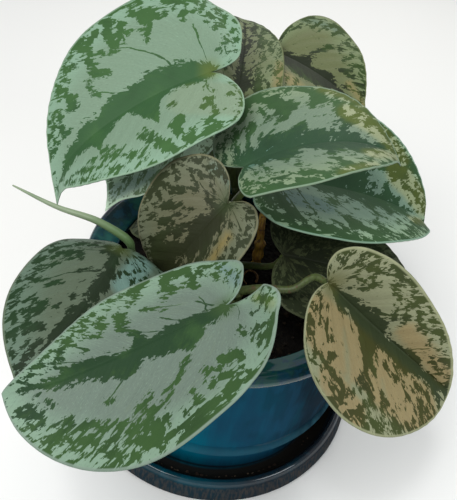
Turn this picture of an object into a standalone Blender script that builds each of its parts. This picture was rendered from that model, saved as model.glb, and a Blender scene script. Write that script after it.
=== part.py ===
"""Potted satin pothos: a glazed pot on its saucer, soil, rooted vines, petioles and heart-shaped blades.

Metres, +Z up. The pot's axis is Z and the saucer's underside lies on Z = 0.
"""
import math
from collections import namedtuple

import bmesh
import bpy
import numpy as np
from mathutils import Vector

COLLECTION_NAME = "potted_satin_pothos"
CUTTER_COLLECTION_NAME = "stem_hole_cutters"

# Clearances and fineness
GAP = 0.0003
WELD = 0.00001
TURNED_STEPS = 48
ROWS_ALONG = 15
ROWS_ACROSS = 3

# Saucer
SAUCER_FOOT_RADIUS = 0.0700
SAUCER_OUTER_RADIUS = 0.0714
SAUCER_CREST_RADIUS = 0.0690
SAUCER_INNER_RADIUS = 0.0655
SAUCER_HEIGHT = 0.0125
SAUCER_FLOOR = 0.0040

# Pot
RIM_HEIGHT = 0.0900
RIM_RADIUS = 0.0660
MOUTH_RADIUS = 0.0530
LIP_THICKNESS = 0.0055
BODY_TOP_RADIUS = 0.0640
BODY_LOW_RADIUS = 0.0615
BEAD_RADIUS = 0.0632
BEAD_TOP = 0.0330
BEAD_BOTTOM = 0.0240
FOOT_RADIUS = 0.0570
FOOT_RING = 0.0070
FOOT_RECESS = 0.0030
CAVITY_RADIUS = 0.0565
CAVITY_LOW_RADIUS = 0.0500
CAVITY_FLOOR = 0.0140
DRAIN_RADIUS = 0.0060
POT_BASE = SAUCER_FLOOR + GAP

# Soil
SOIL_LEVEL = 0.0800
SOIL_CROWN = 0.0012
STEM_HOLE_FLOOR = 0.0500

# Leaf blades and stalks
BLADE_THICKNESS = 0.0009
STALK_ROOT_RADIUS = 0.0019
STALK_TIP_RADIUS = 0.0013
KNEE = 0.0055
STALK_SIDES = 6

Finish = namedtuple("Finish", "colour roughness metallic")
FINISHES = {
    "pot_glaze": Finish((0.010, 0.085, 0.130), 0.15, 0.0),
    "saucer_glaze": Finish((0.012, 0.045, 0.075), 0.20, 0.0),
    "soil": Finish((0.012, 0.010, 0.009), 0.95, 0.0),
    "vine": Finish((0.16, 0.17, 0.06), 0.55, 0.0),
    "dry_sheath": Finish((0.30, 0.14, 0.05), 0.70, 0.0),
    "new_leaf": Finish((0.32, 0.42, 0.24), 0.45, 0.0),
    "leaf": Finish((0.22, 0.33, 0.24), 0.50, 0.0),
    "shaded_leaf": Finish((0.14, 0.17, 0.09), 0.55, 0.0),
}

# One side of a blade's margin, from the stalk round the lobe to the tip:
# share of the length along the midrib, and share of the half width across it.
HEART_OUTLINE = (
    (0.0, 0.0), (-0.05, 0.08), (-0.115, 0.26), (-0.135, 0.50), (-0.085, 0.76), (0.03, 0.94),
    (0.19, 1.0), (0.38, 0.965), (0.57, 0.82), (0.74, 0.58), (0.87, 0.31), (0.955, 0.10), (1.0, 0.0),
)
OVAL_OUTLINE = (
    (0.0, 0.0), (-0.05, 0.08), (-0.115, 0.24), (-0.135, 0.44), (-0.095, 0.66), (0.02, 0.84),
    (0.19, 0.95), (0.40, 1.0), (0.60, 0.95), (0.77, 0.80), (0.90, 0.55), (0.97, 0.25), (1.0, 0.0),
)
OUTLINE_ASPECT = 0.42

# heading, pitch and roll in degrees: anticlockwise from +X, nose down, left side up.
# Pairs are (left side, right side), looking from the stalk to the tip.
# lobe scales the lobes behind the stalk, belly turns the heart outline into the oval one,
# bend and curl are degrees of droop, curl only over the last part, and fold lifts the two sides.
Leaf = namedtuple(
    "Leaf",
    "finish base heading pitch roll length half_width lobe belly bend curl fold cup twist lift "
    "ripple drip route sweep sinus",
    defaults=(0.0, (0.0, 0.0)),
)

# Vines: foot on the soil, top of the woody stem and radius
Vine = namedtuple("Vine", "finish foot top radius")
VINES = {
    "vine_back": Vine("vine", (-0.004, 0.034), (-0.003, 0.037, 0.112), 0.0030),
    "vine_middle": Vine("vine", (-0.005, 0.002), (-0.005, 0.003, 0.106), 0.0030),
    "vine_left": Vine("vine", (-0.040, -0.008), (-0.0445, -0.0115, 0.092), 0.0026),
    "vine_front": Vine("vine", (0.002, -0.026), (0.003, -0.030, 0.104), 0.0030),
    "vine_right": Vine("dry_sheath", (0.0105, 0.0080), (0.0105, 0.0085, 0.097), 0.0026),
}

LEAVES = {
    "leaf_upper_left": Leaf(
        "leaf", (-0.0230, 0.0455, 0.1540), -154, 16, 0, 0.0875, (0.0380, 0.0485), (0.62, 1.85),
        (0.28, 0.06), 31, 32, (2, 25), 0.0042, 0, -0.0021, 0.0008, 0.0080,
        ("vine_back", 0.104, ((-0.013, 0.037, 0.123), (-0.021, 0.037, 0.140))),
        sweep=0.0060, sinus=(0.2, 0.9)),
    "leaf_back": Leaf(
        "shaded_leaf", (-0.0110, 0.0507, 0.1400), 90, -22, 12, 0.0740, (0.0180, 0.0215), (0.30, 0.60),
        (0.70, 0.80), 34, 12, (7, 7), 0.0031, 0, 0.0, 0.0006, -0.0030,
        ("vine_back", 0.109, ((-0.006, 0.042, 0.124),))),
    "leaf_back_right": Leaf(
        "shaded_leaf", (0.0045, 0.1035, 0.1390), -27, -1, 6, 0.0560, (0.0350, 0.0320), (0.60, 0.60),
        (-0.10, 0.30), 30, 15, (16, 10), 0.0032, 0, 0.0, 0.0008, 0.0050,
        ("vine_back", 0.098, ((0.002, 0.060, 0.114), (0.000, 0.088, 0.127)))),
    "leaf_upper_right": Leaf(
        "leaf", (-0.0025, 0.0020, 0.1390), 18, -34, -9, 0.0680, (0.0385, 0.0300), (1.15, 0.38),
        (0.34, 0.29), 54, 25, (16, 11), 0.0030, 5, -0.0015, 0.0006, 0.0030,
        ("vine_middle", 0.100, ((-0.0045, 0.003, 0.118),))),
    "leaf_lower_right": Leaf(
        "leaf", (0.0105, 0.0200, 0.1215), 17, 5, 1, 0.0965, (0.0405, 0.0395), (0.55, 0.97),
        (0.42, -0.05), 29, 14, (33, 10), 0.0031, 0, 0.0, 0.0006, -0.0085,
        ("vine_right", 0.090, ((0.0095, 0.0125, 0.106),))),
    "leaf_centre": Leaf(
        "shaded_leaf", (-0.0065, -0.0110, 0.1300), 216, 43, -16, 0.0530, (0.0225, 0.0300), (1.0, 1.30),
        (0.80, 0.40), 47, 20, (16, 14), 0.0029, 0, 0.0, 0.0005, 0.0020,
        ("vine_middle", 0.095, ((-0.0045, -0.002, 0.112),))),
    "leaf_left": Leaf(
        "leaf", (-0.0455, -0.0235, 0.1080), -98, -18, -10, 0.0785, (0.0320, 0.0300), (1.0, 1.0),
        (0.30, 0.26), 38, 28, (-14, -15), 0.0031, 0, -0.0027, 0.0006, 0.0040,
        ("vine_left", 0.0880, ((-0.0465, -0.0165, 0.0960),))),
    "leaf_front": Leaf(
        "leaf", (-0.0010, -0.0715, 0.1390), -154, 28, 8, 0.0785, (0.0420, 0.0325), (1.60, 0.95),
        (0.45, -0.12), -12, -31, (4, -23), -0.0065, -24, 0.0037, 0.0006, -0.0025,
        ("vine_front", 0.092, ((0.001, -0.048, 0.110), (0.001, -0.063, 0.124))),
        sinus=(0.0, 0.4)),
    "leaf_lower_front": Leaf(
        "leaf", (0.0360, -0.0350, 0.1200), 3, 44, 45, 0.0785, (0.0195, 0.0388), (1.06, 0.83),
        (0.15, 0.60), -23, 5, (45, 33), 0.0025, 0, 0.0, 0.0006, -0.0015,
        ("vine_front", 0.101, ((0.0125, -0.0320, 0.1075), (0.0240, -0.0325, 0.1105)))),
    "leaf_under_right": Leaf(
        "shaded_leaf", (0.0200, -0.0100, 0.1060), 7, 8, 8, 0.0710, (0.0300, 0.0320), (0.62, 0.60),
        (0.40, 0.40), 18, 16, (8, 7), 0.0030, 0, 0.0, 0.0006, 0.0040,
        ("vine_middle", 0.084, ((0.006, -0.004, 0.091),))),
    "leaf_under_left": Leaf(
        "shaded_leaf", (-0.0335, 0.0430, 0.1275), -126, 18, 4, 0.0480, (0.0260, 0.0240), (0.60, 0.60),
        (0.30, 0.30), 18, 10, (10, 8), 0.0020, 0, 0.0, 0.0006, 0.0060,
        ("vine_back", 0.092, ((-0.015, 0.036, 0.104), (-0.028, 0.041, 0.118)))),
    "leaf_under_centre": Leaf(
        "shaded_leaf", (-0.0215, 0.0030, 0.1030), 168, 8, 0, 0.0315, (0.0148, 0.0148), (1.0, 1.0),
        (0.30, 0.30), 30, 15, (10, 10), 0.0030, 0, 0.0, 0.0004, 0.0020,
        ("vine_middle", 0.087, ((-0.012, 0.003, 0.092),))),
}

# The new leaf is still rolled into a spike
SPIKE_STALK = ("vine_left", 0.0900, (-0.0436, -0.0140, 0.0985))
SPIKE_ROUTE = ((-0.0437, -0.0143, 0.0993), (-0.0442, -0.0162, 0.1050), (-0.0560, -0.0172, 0.1145),
               (-0.0740, -0.0160, 0.1180), (-0.0930, -0.0120, 0.1220))
SPIKE_RADIUS = 0.0021
SPIKE_TIP_RADIUS = 0.0003

# A withered tendril curls on the soil beside the right-hand vine
TENDRIL_CENTRE = (0.0085, -0.0035)
TENDRIL_RADIUS = 0.0032
TENDRIL_WIRE = 0.0006


def clear_scene():
    for thing in list(bpy.context.scene.objects):
        bpy.data.objects.remove(thing, do_unlink=True)


def new_collection(name):
    collection = bpy.data.collections.new(name)
    bpy.context.scene.collection.children.link(collection)
    return collection


def make_material(name):
    finish = FINISHES[name]
    material = bpy.data.materials.new(name)
    material.use_nodes = True
    shader = material.node_tree.nodes["Principled BSDF"]
    shader.inputs["Base Color"].default_value = (*finish.colour, 1.0)
    shader.inputs["Roughness"].default_value = finish.roughness
    shader.inputs["Metallic"].default_value = finish.metallic
    return material


def add_object(name, data, collection, material=None):
    thing = bpy.data.objects.new(name, data)
    collection.objects.link(thing)
    if material:
        data.materials.append(material)
    return thing


def turned(name, profile, collection, material):
    """A closed profile of (radius, height) points turned about Z; it runs down its outer side."""
    mesh = bpy.data.meshes.new(name)
    shape = bmesh.new()
    points = [shape.verts.new((radius, 0.0, height)) for radius, height in profile]
    pairs = list(zip(points, points[1:]))
    if profile[0][0] > 0.0:
        pairs.append((points[-1], points[0]))
    for start, end in pairs:
        shape.edges.new((start, end))
    shape.to_mesh(mesh)
    shape.free()
    thing = add_object(name, mesh, collection, material)
    screw = thing.modifiers.new("turn", "SCREW")
    screw.axis = "Z"
    screw.angle = math.tau
    screw.steps = TURNED_STEPS
    screw.render_steps = TURNED_STEPS
    screw.use_merge_vertices = True
    screw.merge_threshold = WELD
    screw.use_smooth_shade = True
    return thing


def arc(centre, radius, start, end, steps):
    """Points on an arc in the profile plane, angles in degrees."""
    angles = [math.radians(start + (end - start) * step / steps) for step in range(steps + 1)]
    return [(centre[0] + radius * math.cos(a), centre[1] + radius * math.sin(a)) for a in angles]


def saucer_profile():
    crest = (SAUCER_CREST_RADIUS + SAUCER_INNER_RADIUS) / 2
    roll = (SAUCER_CREST_RADIUS - SAUCER_INNER_RADIUS) / 2
    crown = arc((crest, SAUCER_HEIGHT - roll), roll, 180, 20, 4)
    return [
        (0.0, SAUCER_FLOOR),
        (FOOT_RADIUS + 0.0015, SAUCER_FLOOR),
        (SAUCER_INNER_RADIUS - 0.0020, SAUCER_FLOOR + 0.0022),
        *crown,
        (SAUCER_OUTER_RADIUS - 0.0008, SAUCER_HEIGHT - 0.0048),
        (SAUCER_OUTER_RADIUS, 0.0020),
        (SAUCER_FOOT_RADIUS, 0.0),
        (0.0, 0.0),
    ]


def pot_profile():
    lip_roll = LIP_THICKNESS / 2
    rim_edge = arc((RIM_RADIUS - lip_roll, RIM_HEIGHT - lip_roll), lip_roll, 100, -60, 4)
    bead_middle = (BEAD_TOP + BEAD_BOTTOM) / 2
    return [
        (MOUTH_RADIUS + 0.0012, RIM_HEIGHT - 0.0034),
        (RIM_RADIUS - 0.0055, RIM_HEIGHT - 0.0009),
        *rim_edge,
        (BODY_TOP_RADIUS, RIM_HEIGHT - LIP_THICKNESS - 0.0010),
        (BODY_LOW_RADIUS, BEAD_TOP),
        (BEAD_RADIUS - 0.0004, BEAD_TOP - 0.0016),
        (BEAD_RADIUS, bead_middle),
        (BEAD_RADIUS - 0.0008, BEAD_BOTTOM + 0.0012),
        (BODY_LOW_RADIUS - 0.0020, BEAD_BOTTOM - 0.0010),
        (FOOT_RADIUS + 0.0010, BEAD_BOTTOM - 0.0060),
        (FOOT_RADIUS, POT_BASE + 0.0015),
        (FOOT_RADIUS - 0.0010, POT_BASE),
        (FOOT_RADIUS - FOOT_RING, POT_BASE),
        (FOOT_RADIUS - FOOT_RING - 0.0015, POT_BASE + FOOT_RECESS),
        (DRAIN_RADIUS, POT_BASE + FOOT_RECESS),
        (DRAIN_RADIUS, CAVITY_FLOOR),
        (CAVITY_LOW_RADIUS - 0.0040, CAVITY_FLOOR),
        (CAVITY_LOW_RADIUS, CAVITY_FLOOR + 0.0040),
        (CAVITY_RADIUS, SOIL_LEVEL - 0.0040),
        (MOUTH_RADIUS, RIM_HEIGHT - LIP_THICKNESS),
    ]


def soil_profile():
    edge = CAVITY_RADIUS - 0.0001 - GAP
    return [
        (0.0, SOIL_LEVEL + SOIL_CROWN),
        (0.0300, SOIL_LEVEL + SOIL_CROWN * 0.5),
        (edge - 0.0060, SOIL_LEVEL - 0.0014),
        (edge, SOIL_LEVEL - 0.0042),
        (CAVITY_LOW_RADIUS - 0.0004 - GAP, CAVITY_FLOOR + 0.0042),
        (CAVITY_LOW_RADIUS - 0.0044 - GAP, CAVITY_FLOOR + GAP),
        (0.0, CAVITY_FLOOR + GAP),
    ]


def through_points(points, samples, weights):
    """A smooth curve through points; weights scale each coordinate when lengths are measured."""
    points = np.array(points, float)
    steps = np.linalg.norm(np.diff(points * weights, axis=0), axis=1)
    knots = np.concatenate(([0.0], np.cumsum(steps)))
    knots /= knots[-1]
    slopes = np.gradient(points, knots, axis=0)
    slopes[0] = (points[1] - points[0]) / (knots[1] - knots[0])
    slopes[-1] = (points[-1] - points[-2]) / (knots[-1] - knots[-2])
    wanted = np.atleast_1d(samples)
    left = np.clip(np.searchsorted(knots, wanted, side="right") - 1, 0, len(knots) - 2)
    span = (knots[left + 1] - knots[left])[:, None]
    u = (wanted - knots[left])[:, None] / span
    return (
        (2 * u**3 - 3 * u**2 + 1) * points[left]
        + (u**3 - 2 * u**2 + u) * span * slopes[left]
        + (-2 * u**3 + 3 * u**2) * points[left + 1]
        + (u**3 - u**2) * span * slopes[left + 1]
    )


def outline_at(station, lobe, belly):
    """Margin point at a station from 0 at the stalk to 1 at the tip, as shares of the leaf's size."""
    weights = np.array((1.0, OUTLINE_ASPECT))
    heart = through_points(HEART_OUTLINE, station, weights)
    oval = through_points(OVAL_OUTLINE, station, weights)
    edge = heart * (1 - belly) + oval * belly
    edge[:, 0] = np.where(edge[:, 0] < 0, edge[:, 0] * lobe, edge[:, 0])
    return edge[:, 0], edge[:, 1]


def vein_root(station):
    """Share of the midrib at which the side vein that ends at this station starts."""
    early = 0.02 * np.clip(station / 0.12, 0, 1)
    return early + 0.98 * np.clip((station - 0.12) / 0.88, 0, 1) ** 1.25


def droop(along, leaf):
    """Midrib point and slope angle at a distance along the midrib."""
    count = 60
    share = np.linspace(0, 1, count)
    late = np.clip((share - 0.6) / 0.4, 0, 1) ** 2
    slope = np.radians(leaf.bend) * share + np.radians(leaf.curl) * late
    step = leaf.length / (count - 1)
    forward = np.concatenate(([0], np.cumsum((np.cos(slope[1:]) + np.cos(slope[:-1])) / 2))) * step
    down = np.concatenate(([0], np.cumsum((np.sin(slope[1:]) + np.sin(slope[:-1])) / 2))) * step
    u = along / leaf.length
    past = np.maximum(u - 1, 0) * leaf.length
    x = np.where(u < 0, along, np.interp(u, share, forward) + past * np.cos(slope[-1]))
    z = np.where(u < 0, 0, -np.interp(u, share, down) - past * np.sin(slope[-1]))
    return x, z, np.where(u < 0, 0, np.interp(u, share, slope))


def leaf_axes(leaf):
    """World directions of the blade at its stalk: along the midrib, to its left, and off its face."""
    heading, pitch, roll = np.radians((leaf.heading, leaf.pitch, leaf.roll))
    forward = np.array((math.cos(heading) * math.cos(pitch), math.sin(heading) * math.cos(pitch),
                        -math.sin(pitch)))
    level = np.array((-math.sin(heading), math.cos(heading), 0.0))
    upright = np.cross(forward, level)
    left = level * math.cos(roll) + upright * math.sin(roll)
    return forward, left, np.cross(forward, left)


def blade_points(leaf, station, across):
    """World points of the blade's middle sheet: station 0..1 round the margin, across -1..1."""
    side = np.where(across >= 0, 0, 1)
    reach = np.abs(across)
    edge_x = np.zeros_like(station)
    edge_y = np.zeros_like(station)
    for index in (0, 1):
        x, y = outline_at(station, leaf.lobe[index], leaf.belly[index])
        edge_x = np.where(side == index, x * leaf.length, edge_x)
        edge_y = np.where(side == index, y * leaf.half_width[index], edge_y)
    close = 1 - np.where(side == 0, leaf.sinus[0], leaf.sinus[1]) * np.clip(1 - station / 0.10, 0, 1)
    edge_y = edge_y * close
    root = vein_root(station) * leaf.length
    middle_x = root * 0.62 + edge_x * 0.38
    along = (1 - reach) ** 2 * root + 2 * reach * (1 - reach) * middle_x + reach**2 * edge_x
    out = (2 * reach * (1 - reach) * 0.55 + reach**2) * edge_y
    along += leaf.drip * np.clip((along / leaf.length - 0.9) / 0.1, 0, 1) ** 2
    width = np.where(side == 0, leaf.half_width[0], leaf.half_width[1])
    fold = np.tan(np.radians(np.where(side == 0, leaf.fold[0], leaf.fold[1])))
    share = out / width
    behind = np.clip(-along / (0.12 * leaf.length), 0, 1.5)
    ripple = leaf.ripple * np.sin(math.tau * (3.0 * station + 0.25 * side)) * share**2
    height = out * fold - leaf.cup * share**2 + leaf.lift * behind**2 + ripple
    out = out * np.where(side == 0, 1, -1)
    turn = np.radians(leaf.twist) * along / leaf.length
    out, height = (out * np.cos(turn) - height * np.sin(turn), out * np.sin(turn) + height * np.cos(turn))
    out = out + leaf.sweep * np.clip(along / leaf.length, 0, 1.2) ** 3
    x, z, slope = droop(along, leaf)
    local = np.stack((x + height * np.sin(slope), out, z + height * np.cos(slope)), axis=-1)
    return np.array(leaf.base) + local @ np.stack(leaf_axes(leaf))


def make_blade(name, leaf, collection, material):
    """A grid mapped to the leaf's surface, in triangles, then given its thickness both ways."""
    shape = bmesh.new()
    bmesh.ops.create_grid(shape, x_segments=ROWS_ALONG, y_segments=2 * ROWS_ACROSS, size=1.0)
    flat = np.array([vertex.co for vertex in shape.verts])
    placed = blade_points(leaf, (flat[:, 0] + 1) / 2, np.round(flat[:, 1], 6))
    for vertex, point in zip(shape.verts, placed):
        vertex.co = Vector(point)
    bmesh.ops.remove_doubles(shape, verts=shape.verts, dist=WELD)
    bmesh.ops.triangulate(shape, faces=shape.faces, quad_method="BEAUTY")
    mesh = bpy.data.meshes.new(name)
    shape.to_mesh(mesh)
    shape.free()
    mesh.shade_smooth()
    blade = add_object(name, mesh, collection, material)
    wall = blade.modifiers.new("thickness", "SOLIDIFY")
    wall.thickness = BLADE_THICKNESS
    wall.offset = 0.0
    return blade


def stalk_end(leaf):
    """The knee under a blade, the point where the stalk turns square to it, and its seat there."""
    forward, _, up = leaf_axes(leaf)
    dip = STALK_TIP_RADIUS * math.tan(math.radians(max(0.0, -min(leaf.fold))))
    seat = np.array(leaf.base) - up * (BLADE_THICKNESS / 2 + GAP + dip)
    return seat - up * KNEE - forward * 0.0010, seat - up * KNEE * 0.4, seat


def vine_axis(vine, height):
    """Point on a vine's woody axis at a height above the floor."""
    share = (height - SOIL_LEVEL) / (vine.top[2] - SOIL_LEVEL)
    foot = np.array((*vine.foot, SOIL_LEVEL))
    return foot + (np.array(vine.top) - foot) * share


def tube(name, points, radii):
    """A round stem through points, as a closed mesh object outside any collection."""
    curve = bpy.data.curves.new(name, "CURVE")
    curve.dimensions = "3D"
    curve.bevel_depth = 1.0
    curve.bevel_resolution = (STALK_SIDES - 4) // 2
    curve.use_fill_caps = True
    spline = curve.splines.new("POLY")
    spline.points.add(len(points) - 1)
    for spot, point, radius in zip(spline.points, points, radii):
        spot.co = (*point, 1.0)
        spot.radius = radius
    holder = bpy.data.objects.new(name, curve)
    bpy.context.scene.collection.objects.link(holder)
    bpy.context.view_layer.update()
    evaluated = holder.evaluated_get(bpy.context.evaluated_depsgraph_get())
    mesh = bpy.data.meshes.new_from_object(evaluated)
    solid = bpy.data.objects.new(name, mesh)
    solid.matrix_world = holder.matrix_world
    bpy.data.objects.remove(holder, do_unlink=True)
    shape = bmesh.new()
    shape.from_mesh(mesh)
    bmesh.ops.remove_doubles(shape, verts=shape.verts, dist=WELD)
    bmesh.ops.recalc_face_normals(shape, faces=shape.faces)
    shape.to_mesh(mesh)
    shape.free()
    return solid


def woody_stem(vine):
    """The short rooted stem, swollen at its leaf scars."""
    bottom = STEM_HOLE_FLOOR + GAP
    heights = np.concatenate(([bottom], np.linspace(SOIL_LEVEL, vine.top[2], 6)))
    points = [vine_axis(vine, max(height, SOIL_LEVEL)) for height in heights]
    for point, height in zip(points, heights):
        point[2] = height
    above = heights > SOIL_LEVEL
    swelling = 1.0 + 0.12 * np.where(above, np.cos((heights - SOIL_LEVEL) * 900.0), 0.0)
    radii = vine.radius * np.where(above, swelling * 0.92, 1.0)
    radii[-1] *= 0.6
    return points, radii


def stalk(leaf):
    """A petiole from its vine, by way of its route, to its seat under the blade."""
    vine_name, start_height, via = leaf.route
    start = vine_axis(VINES[vine_name], start_height)
    knee, square, seat = stalk_end(leaf)
    route = [start, *via, knee, square]
    points = through_points(route, np.linspace(0, 1, 2 * len(route) + 1), np.ones(3))
    points = np.vstack((points, seat))
    radii = np.linspace(STALK_ROOT_RADIUS, STALK_TIP_RADIUS, len(points))
    return points, radii


def spike_stalk():
    vine_name, start_height, end = SPIKE_STALK
    start = vine_axis(VINES[vine_name], start_height)
    return [start, (start + np.array(end)) / 2 + np.array((0.0, 0.0, 0.0008)), end], [0.0019, 0.0017, 0.0015]


def joined(name, pieces, collection, material):
    """One solid from several closed ones, by one union on a collection that is then removed."""
    body = pieces[0]
    body.name = name
    collection.objects.link(body)
    body.data.materials.clear()
    body.data.materials.append(material)
    if len(pieces) > 1:
        extra = new_collection(name + "_pieces")
        for piece in pieces[1:]:
            extra.objects.link(piece)
        union = body.modifiers.new("union", "BOOLEAN")
        union.operation = "UNION"
        union.operand_type = "COLLECTION"
        union.collection = extra
        union.solver = "EXACT"
        bpy.context.view_layer.update()
        evaluated = body.evaluated_get(bpy.context.evaluated_depsgraph_get())
        whole = bpy.data.meshes.new_from_object(evaluated)
        body.modifiers.remove(union)
        body.data = whole
        body.data.materials.clear()
        body.data.materials.append(material)
        for piece in list(extra.objects):
            bpy.data.objects.remove(piece, do_unlink=True)
        bpy.data.collections.remove(extra)
    body.data.shade_smooth()
    body.data.set_sharp_from_angle(angle=math.radians(50))
    return body


def make_vines(collection, materials):
    for vine_name, vine in VINES.items():
        pieces = [tube(vine_name, *woody_stem(vine))]
        for leaf_name, leaf in LEAVES.items():
            if leaf.route[0] == vine_name:
                pieces.append(tube("stalk_of_" + leaf_name, *stalk(leaf)))
        if SPIKE_STALK[0] == vine_name:
            pieces.append(tube("stalk_of_new_leaf", *spike_stalk()))
        joined(vine_name, pieces, collection, materials[vine.finish])


def make_new_leaf(collection, materials):
    points = through_points(SPIKE_ROUTE, np.linspace(0, 1, 14), np.ones(3))
    share = np.linspace(0, 1, len(points))
    swell = np.clip(share / 0.18, 0, 1) ** 0.5
    radii = SPIKE_TIP_RADIUS + (SPIKE_RADIUS - SPIKE_TIP_RADIUS) * (1 - share) ** 0.8 * (0.6 + 0.4 * swell)
    joined("new_leaf", [tube("new_leaf", points, radii)], collection, materials["new_leaf"])


def make_tendril(collection, materials):
    turns = np.linspace(math.radians(-30), math.radians(250), 12)
    lowest = SOIL_LEVEL + SOIL_CROWN + TENDRIL_WIRE
    points = [(TENDRIL_CENTRE[0] + TENDRIL_RADIUS * math.cos(turn),
               TENDRIL_CENTRE[1] + TENDRIL_RADIUS * math.sin(turn),
               lowest + 0.0012 * (1 + math.sin(turn))) for turn in turns]
    piece = tube("tendril", points, [TENDRIL_WIRE] * len(points))
    joined("tendril", [piece], collection, materials["dry_sheath"])


def cut_stem_holes(soil, cutters):
    for vine_name, vine in VINES.items():
        bpy.ops.mesh.primitive_cylinder_add(
            vertices=16, radius=vine.radius + 2 * GAP, depth=0.060,
            location=(*vine.foot, STEM_HOLE_FLOOR + 0.030))
        cutter = bpy.context.object
        cutter.name = "hole_for_" + vine_name
        for owner in list(cutter.users_collection):
            owner.objects.unlink(cutter)
        cutters.objects.link(cutter)
        cutter.hide_render = True
        cutter.display_type = "WIRE"
        cut = soil.modifiers.new(cutter.name, "BOOLEAN")
        cut.operation = "DIFFERENCE"
        cut.object = cutter
        cut.solver = "EXACT"


def main():
    clear_scene()
    collection = new_collection(COLLECTION_NAME)
    cutters = new_collection(CUTTER_COLLECTION_NAME)
    materials = {name: make_material(name) for name in FINISHES}
    turned("saucer", saucer_profile(), collection, materials["saucer_glaze"])
    turned("pot", pot_profile(), collection, materials["pot_glaze"])
    soil = turned("soil", soil_profile(), collection, materials["soil"])
    cut_stem_holes(soil, cutters)
    make_vines(collection, materials)
    make_new_leaf(collection, materials)
    make_tendril(collection, materials)
    for name, leaf in LEAVES.items():
        make_blade(name, leaf, collection, materials[leaf.finish])


main()
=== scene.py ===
import math
from collections import namedtuple

import bpy
import numpy as np
from bpy.props import FloatProperty, FloatVectorProperty, IntProperty, PointerProperty
from mathutils import Matrix, Vector, noise


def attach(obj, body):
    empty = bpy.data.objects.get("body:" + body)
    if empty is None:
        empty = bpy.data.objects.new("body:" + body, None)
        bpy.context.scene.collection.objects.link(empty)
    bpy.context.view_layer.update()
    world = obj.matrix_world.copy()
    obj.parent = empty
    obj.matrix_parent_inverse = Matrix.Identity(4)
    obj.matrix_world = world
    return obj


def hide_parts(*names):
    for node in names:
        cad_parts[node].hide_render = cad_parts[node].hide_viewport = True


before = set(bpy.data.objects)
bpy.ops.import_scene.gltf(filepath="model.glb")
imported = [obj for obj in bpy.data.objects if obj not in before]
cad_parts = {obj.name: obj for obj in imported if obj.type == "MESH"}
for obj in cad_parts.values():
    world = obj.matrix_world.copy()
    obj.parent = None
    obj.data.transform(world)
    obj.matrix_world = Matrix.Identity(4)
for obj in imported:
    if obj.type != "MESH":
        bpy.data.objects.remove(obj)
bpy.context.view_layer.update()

bl_info = {
    "name": "Potted satin pothos",
    "version": (1, 0, 0),
    "blender": (4, 5, 0),
    "location": "View3D > Sidebar > Pothos",
    "description": "Satin pothos with silver-splashed leaves in a glazed pot on a saucer",
    "category": "Add Mesh",
}

# Lengths are in metres, and angles in degrees, unless a comment says otherwise
MILLIMETRES = 1000.0
SEAT_GAP = 0.0003
SAUCER_FLOOR = 0.0040
RIM_HEIGHT = 0.0900
SOIL_LEVEL = 0.0800
SOIL_RADIUS = 0.0545
SOIL_CROWN = 0.0012
CROWN_RADIUS = 0.045
BLADE_THICKNESS = 0.0009
MARGIN_SHARE = 0.45
MARGIN_WIDTH = 0.004
STALK_ROOT_RADIUS = 0.0019
STALK_TIP_RADIUS = 0.0013
KNEE = 0.0055
QUILT_DEPTH = 0.00012
QUILT_SPACING = 0.0080
RIPPLES = 3.0
CURL_START = 0.6
WELD_DISTANCE = 0.00001

# Side veins: how far they lean towards the tip, how strongly they bend, metres per radian of the fan
# behind the stalk, and the station and the share of the midrib at which that fan ends
VEIN_LEAN = 0.7
VEIN_BEND = 12.0
FAN_SPREAD = 0.022
FAN_END = 0.12
FAN_ROOT = 0.02

# A mesh row runs from the midrib to the margin on a curve; its handle's share of the way along and out
ROW_ALONG = 0.38
ROW_OUT = 0.55

# Bands on the glazed pieces, as heights: where each begins and is full, then where it fades and ends
# The pot's bead band carries a painted highlight
POT_BEAD_HIGHLIGHT = ((0.0262, 0.0290), (0.0312, 0.0332))
# A painted highlight line on the lip's outer crest
LIP_HIGHLIGHT = ((RIM_HEIGHT - 0.0052, RIM_HEIGHT - 0.0046), (RIM_HEIGHT - 0.0040, RIM_HEIGHT - 0.0034))
LIP_TOP = (RIM_HEIGHT - 0.0062, RIM_HEIGHT - 0.0050)
LIP_GLOSS = (RIM_HEIGHT - 0.0075, RIM_HEIGHT - 0.0045)
SAUCER_CREST = ((0.0098, 0.0110), (0.0140, 0.0150))
SAUCER_WALL = (0.0108, 0.0092)
# The trough bands: a dark grit stain that is also painted shadow in the gap under the pot
SAUCER_TROUGH = ((0.0005, 0.0020), (SAUCER_FLOOR + 0.0030, SAUCER_FLOOR + 0.0044))
# The same as radii
EDGE_RADII = (0.0640, 0.0645)
WALL_RADII = (0.0690, 0.0700)
TROUGH_RADII = ((0.0560, 0.0575), (0.0645, 0.0655))

CRUMB_COUNT = 420
GRIT_COUNT = 60

# The camera that was fitted to the photograph, and the lamps: name, place, size, share of the key
# light's power, colour
CAMERA_PLACE = (-0.00319, -0.20840, 0.29442)
CAMERA_ELEVATION = 43.8
CAMERA_ROLL = 9.4
AIM = Vector((0.0, 0.0, 0.09))
LAMPS = (
    ("key", (-0.35, -0.35, 0.75), 0.55, 1.0, (1.0, 0.99, 0.97)),
    ("window", (0.45, -0.30, 0.45), 0.25, 0.22, (0.93, 0.97, 1.0)),
    ("back", (0.15, 0.60, 0.60), 0.50, 0.40, (1.0, 0.98, 0.92)),
    ("sparkle", (-0.12, -0.22, 0.80), 0.10, 0.20, (1.0, 1.0, 1.0)),
)

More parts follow.
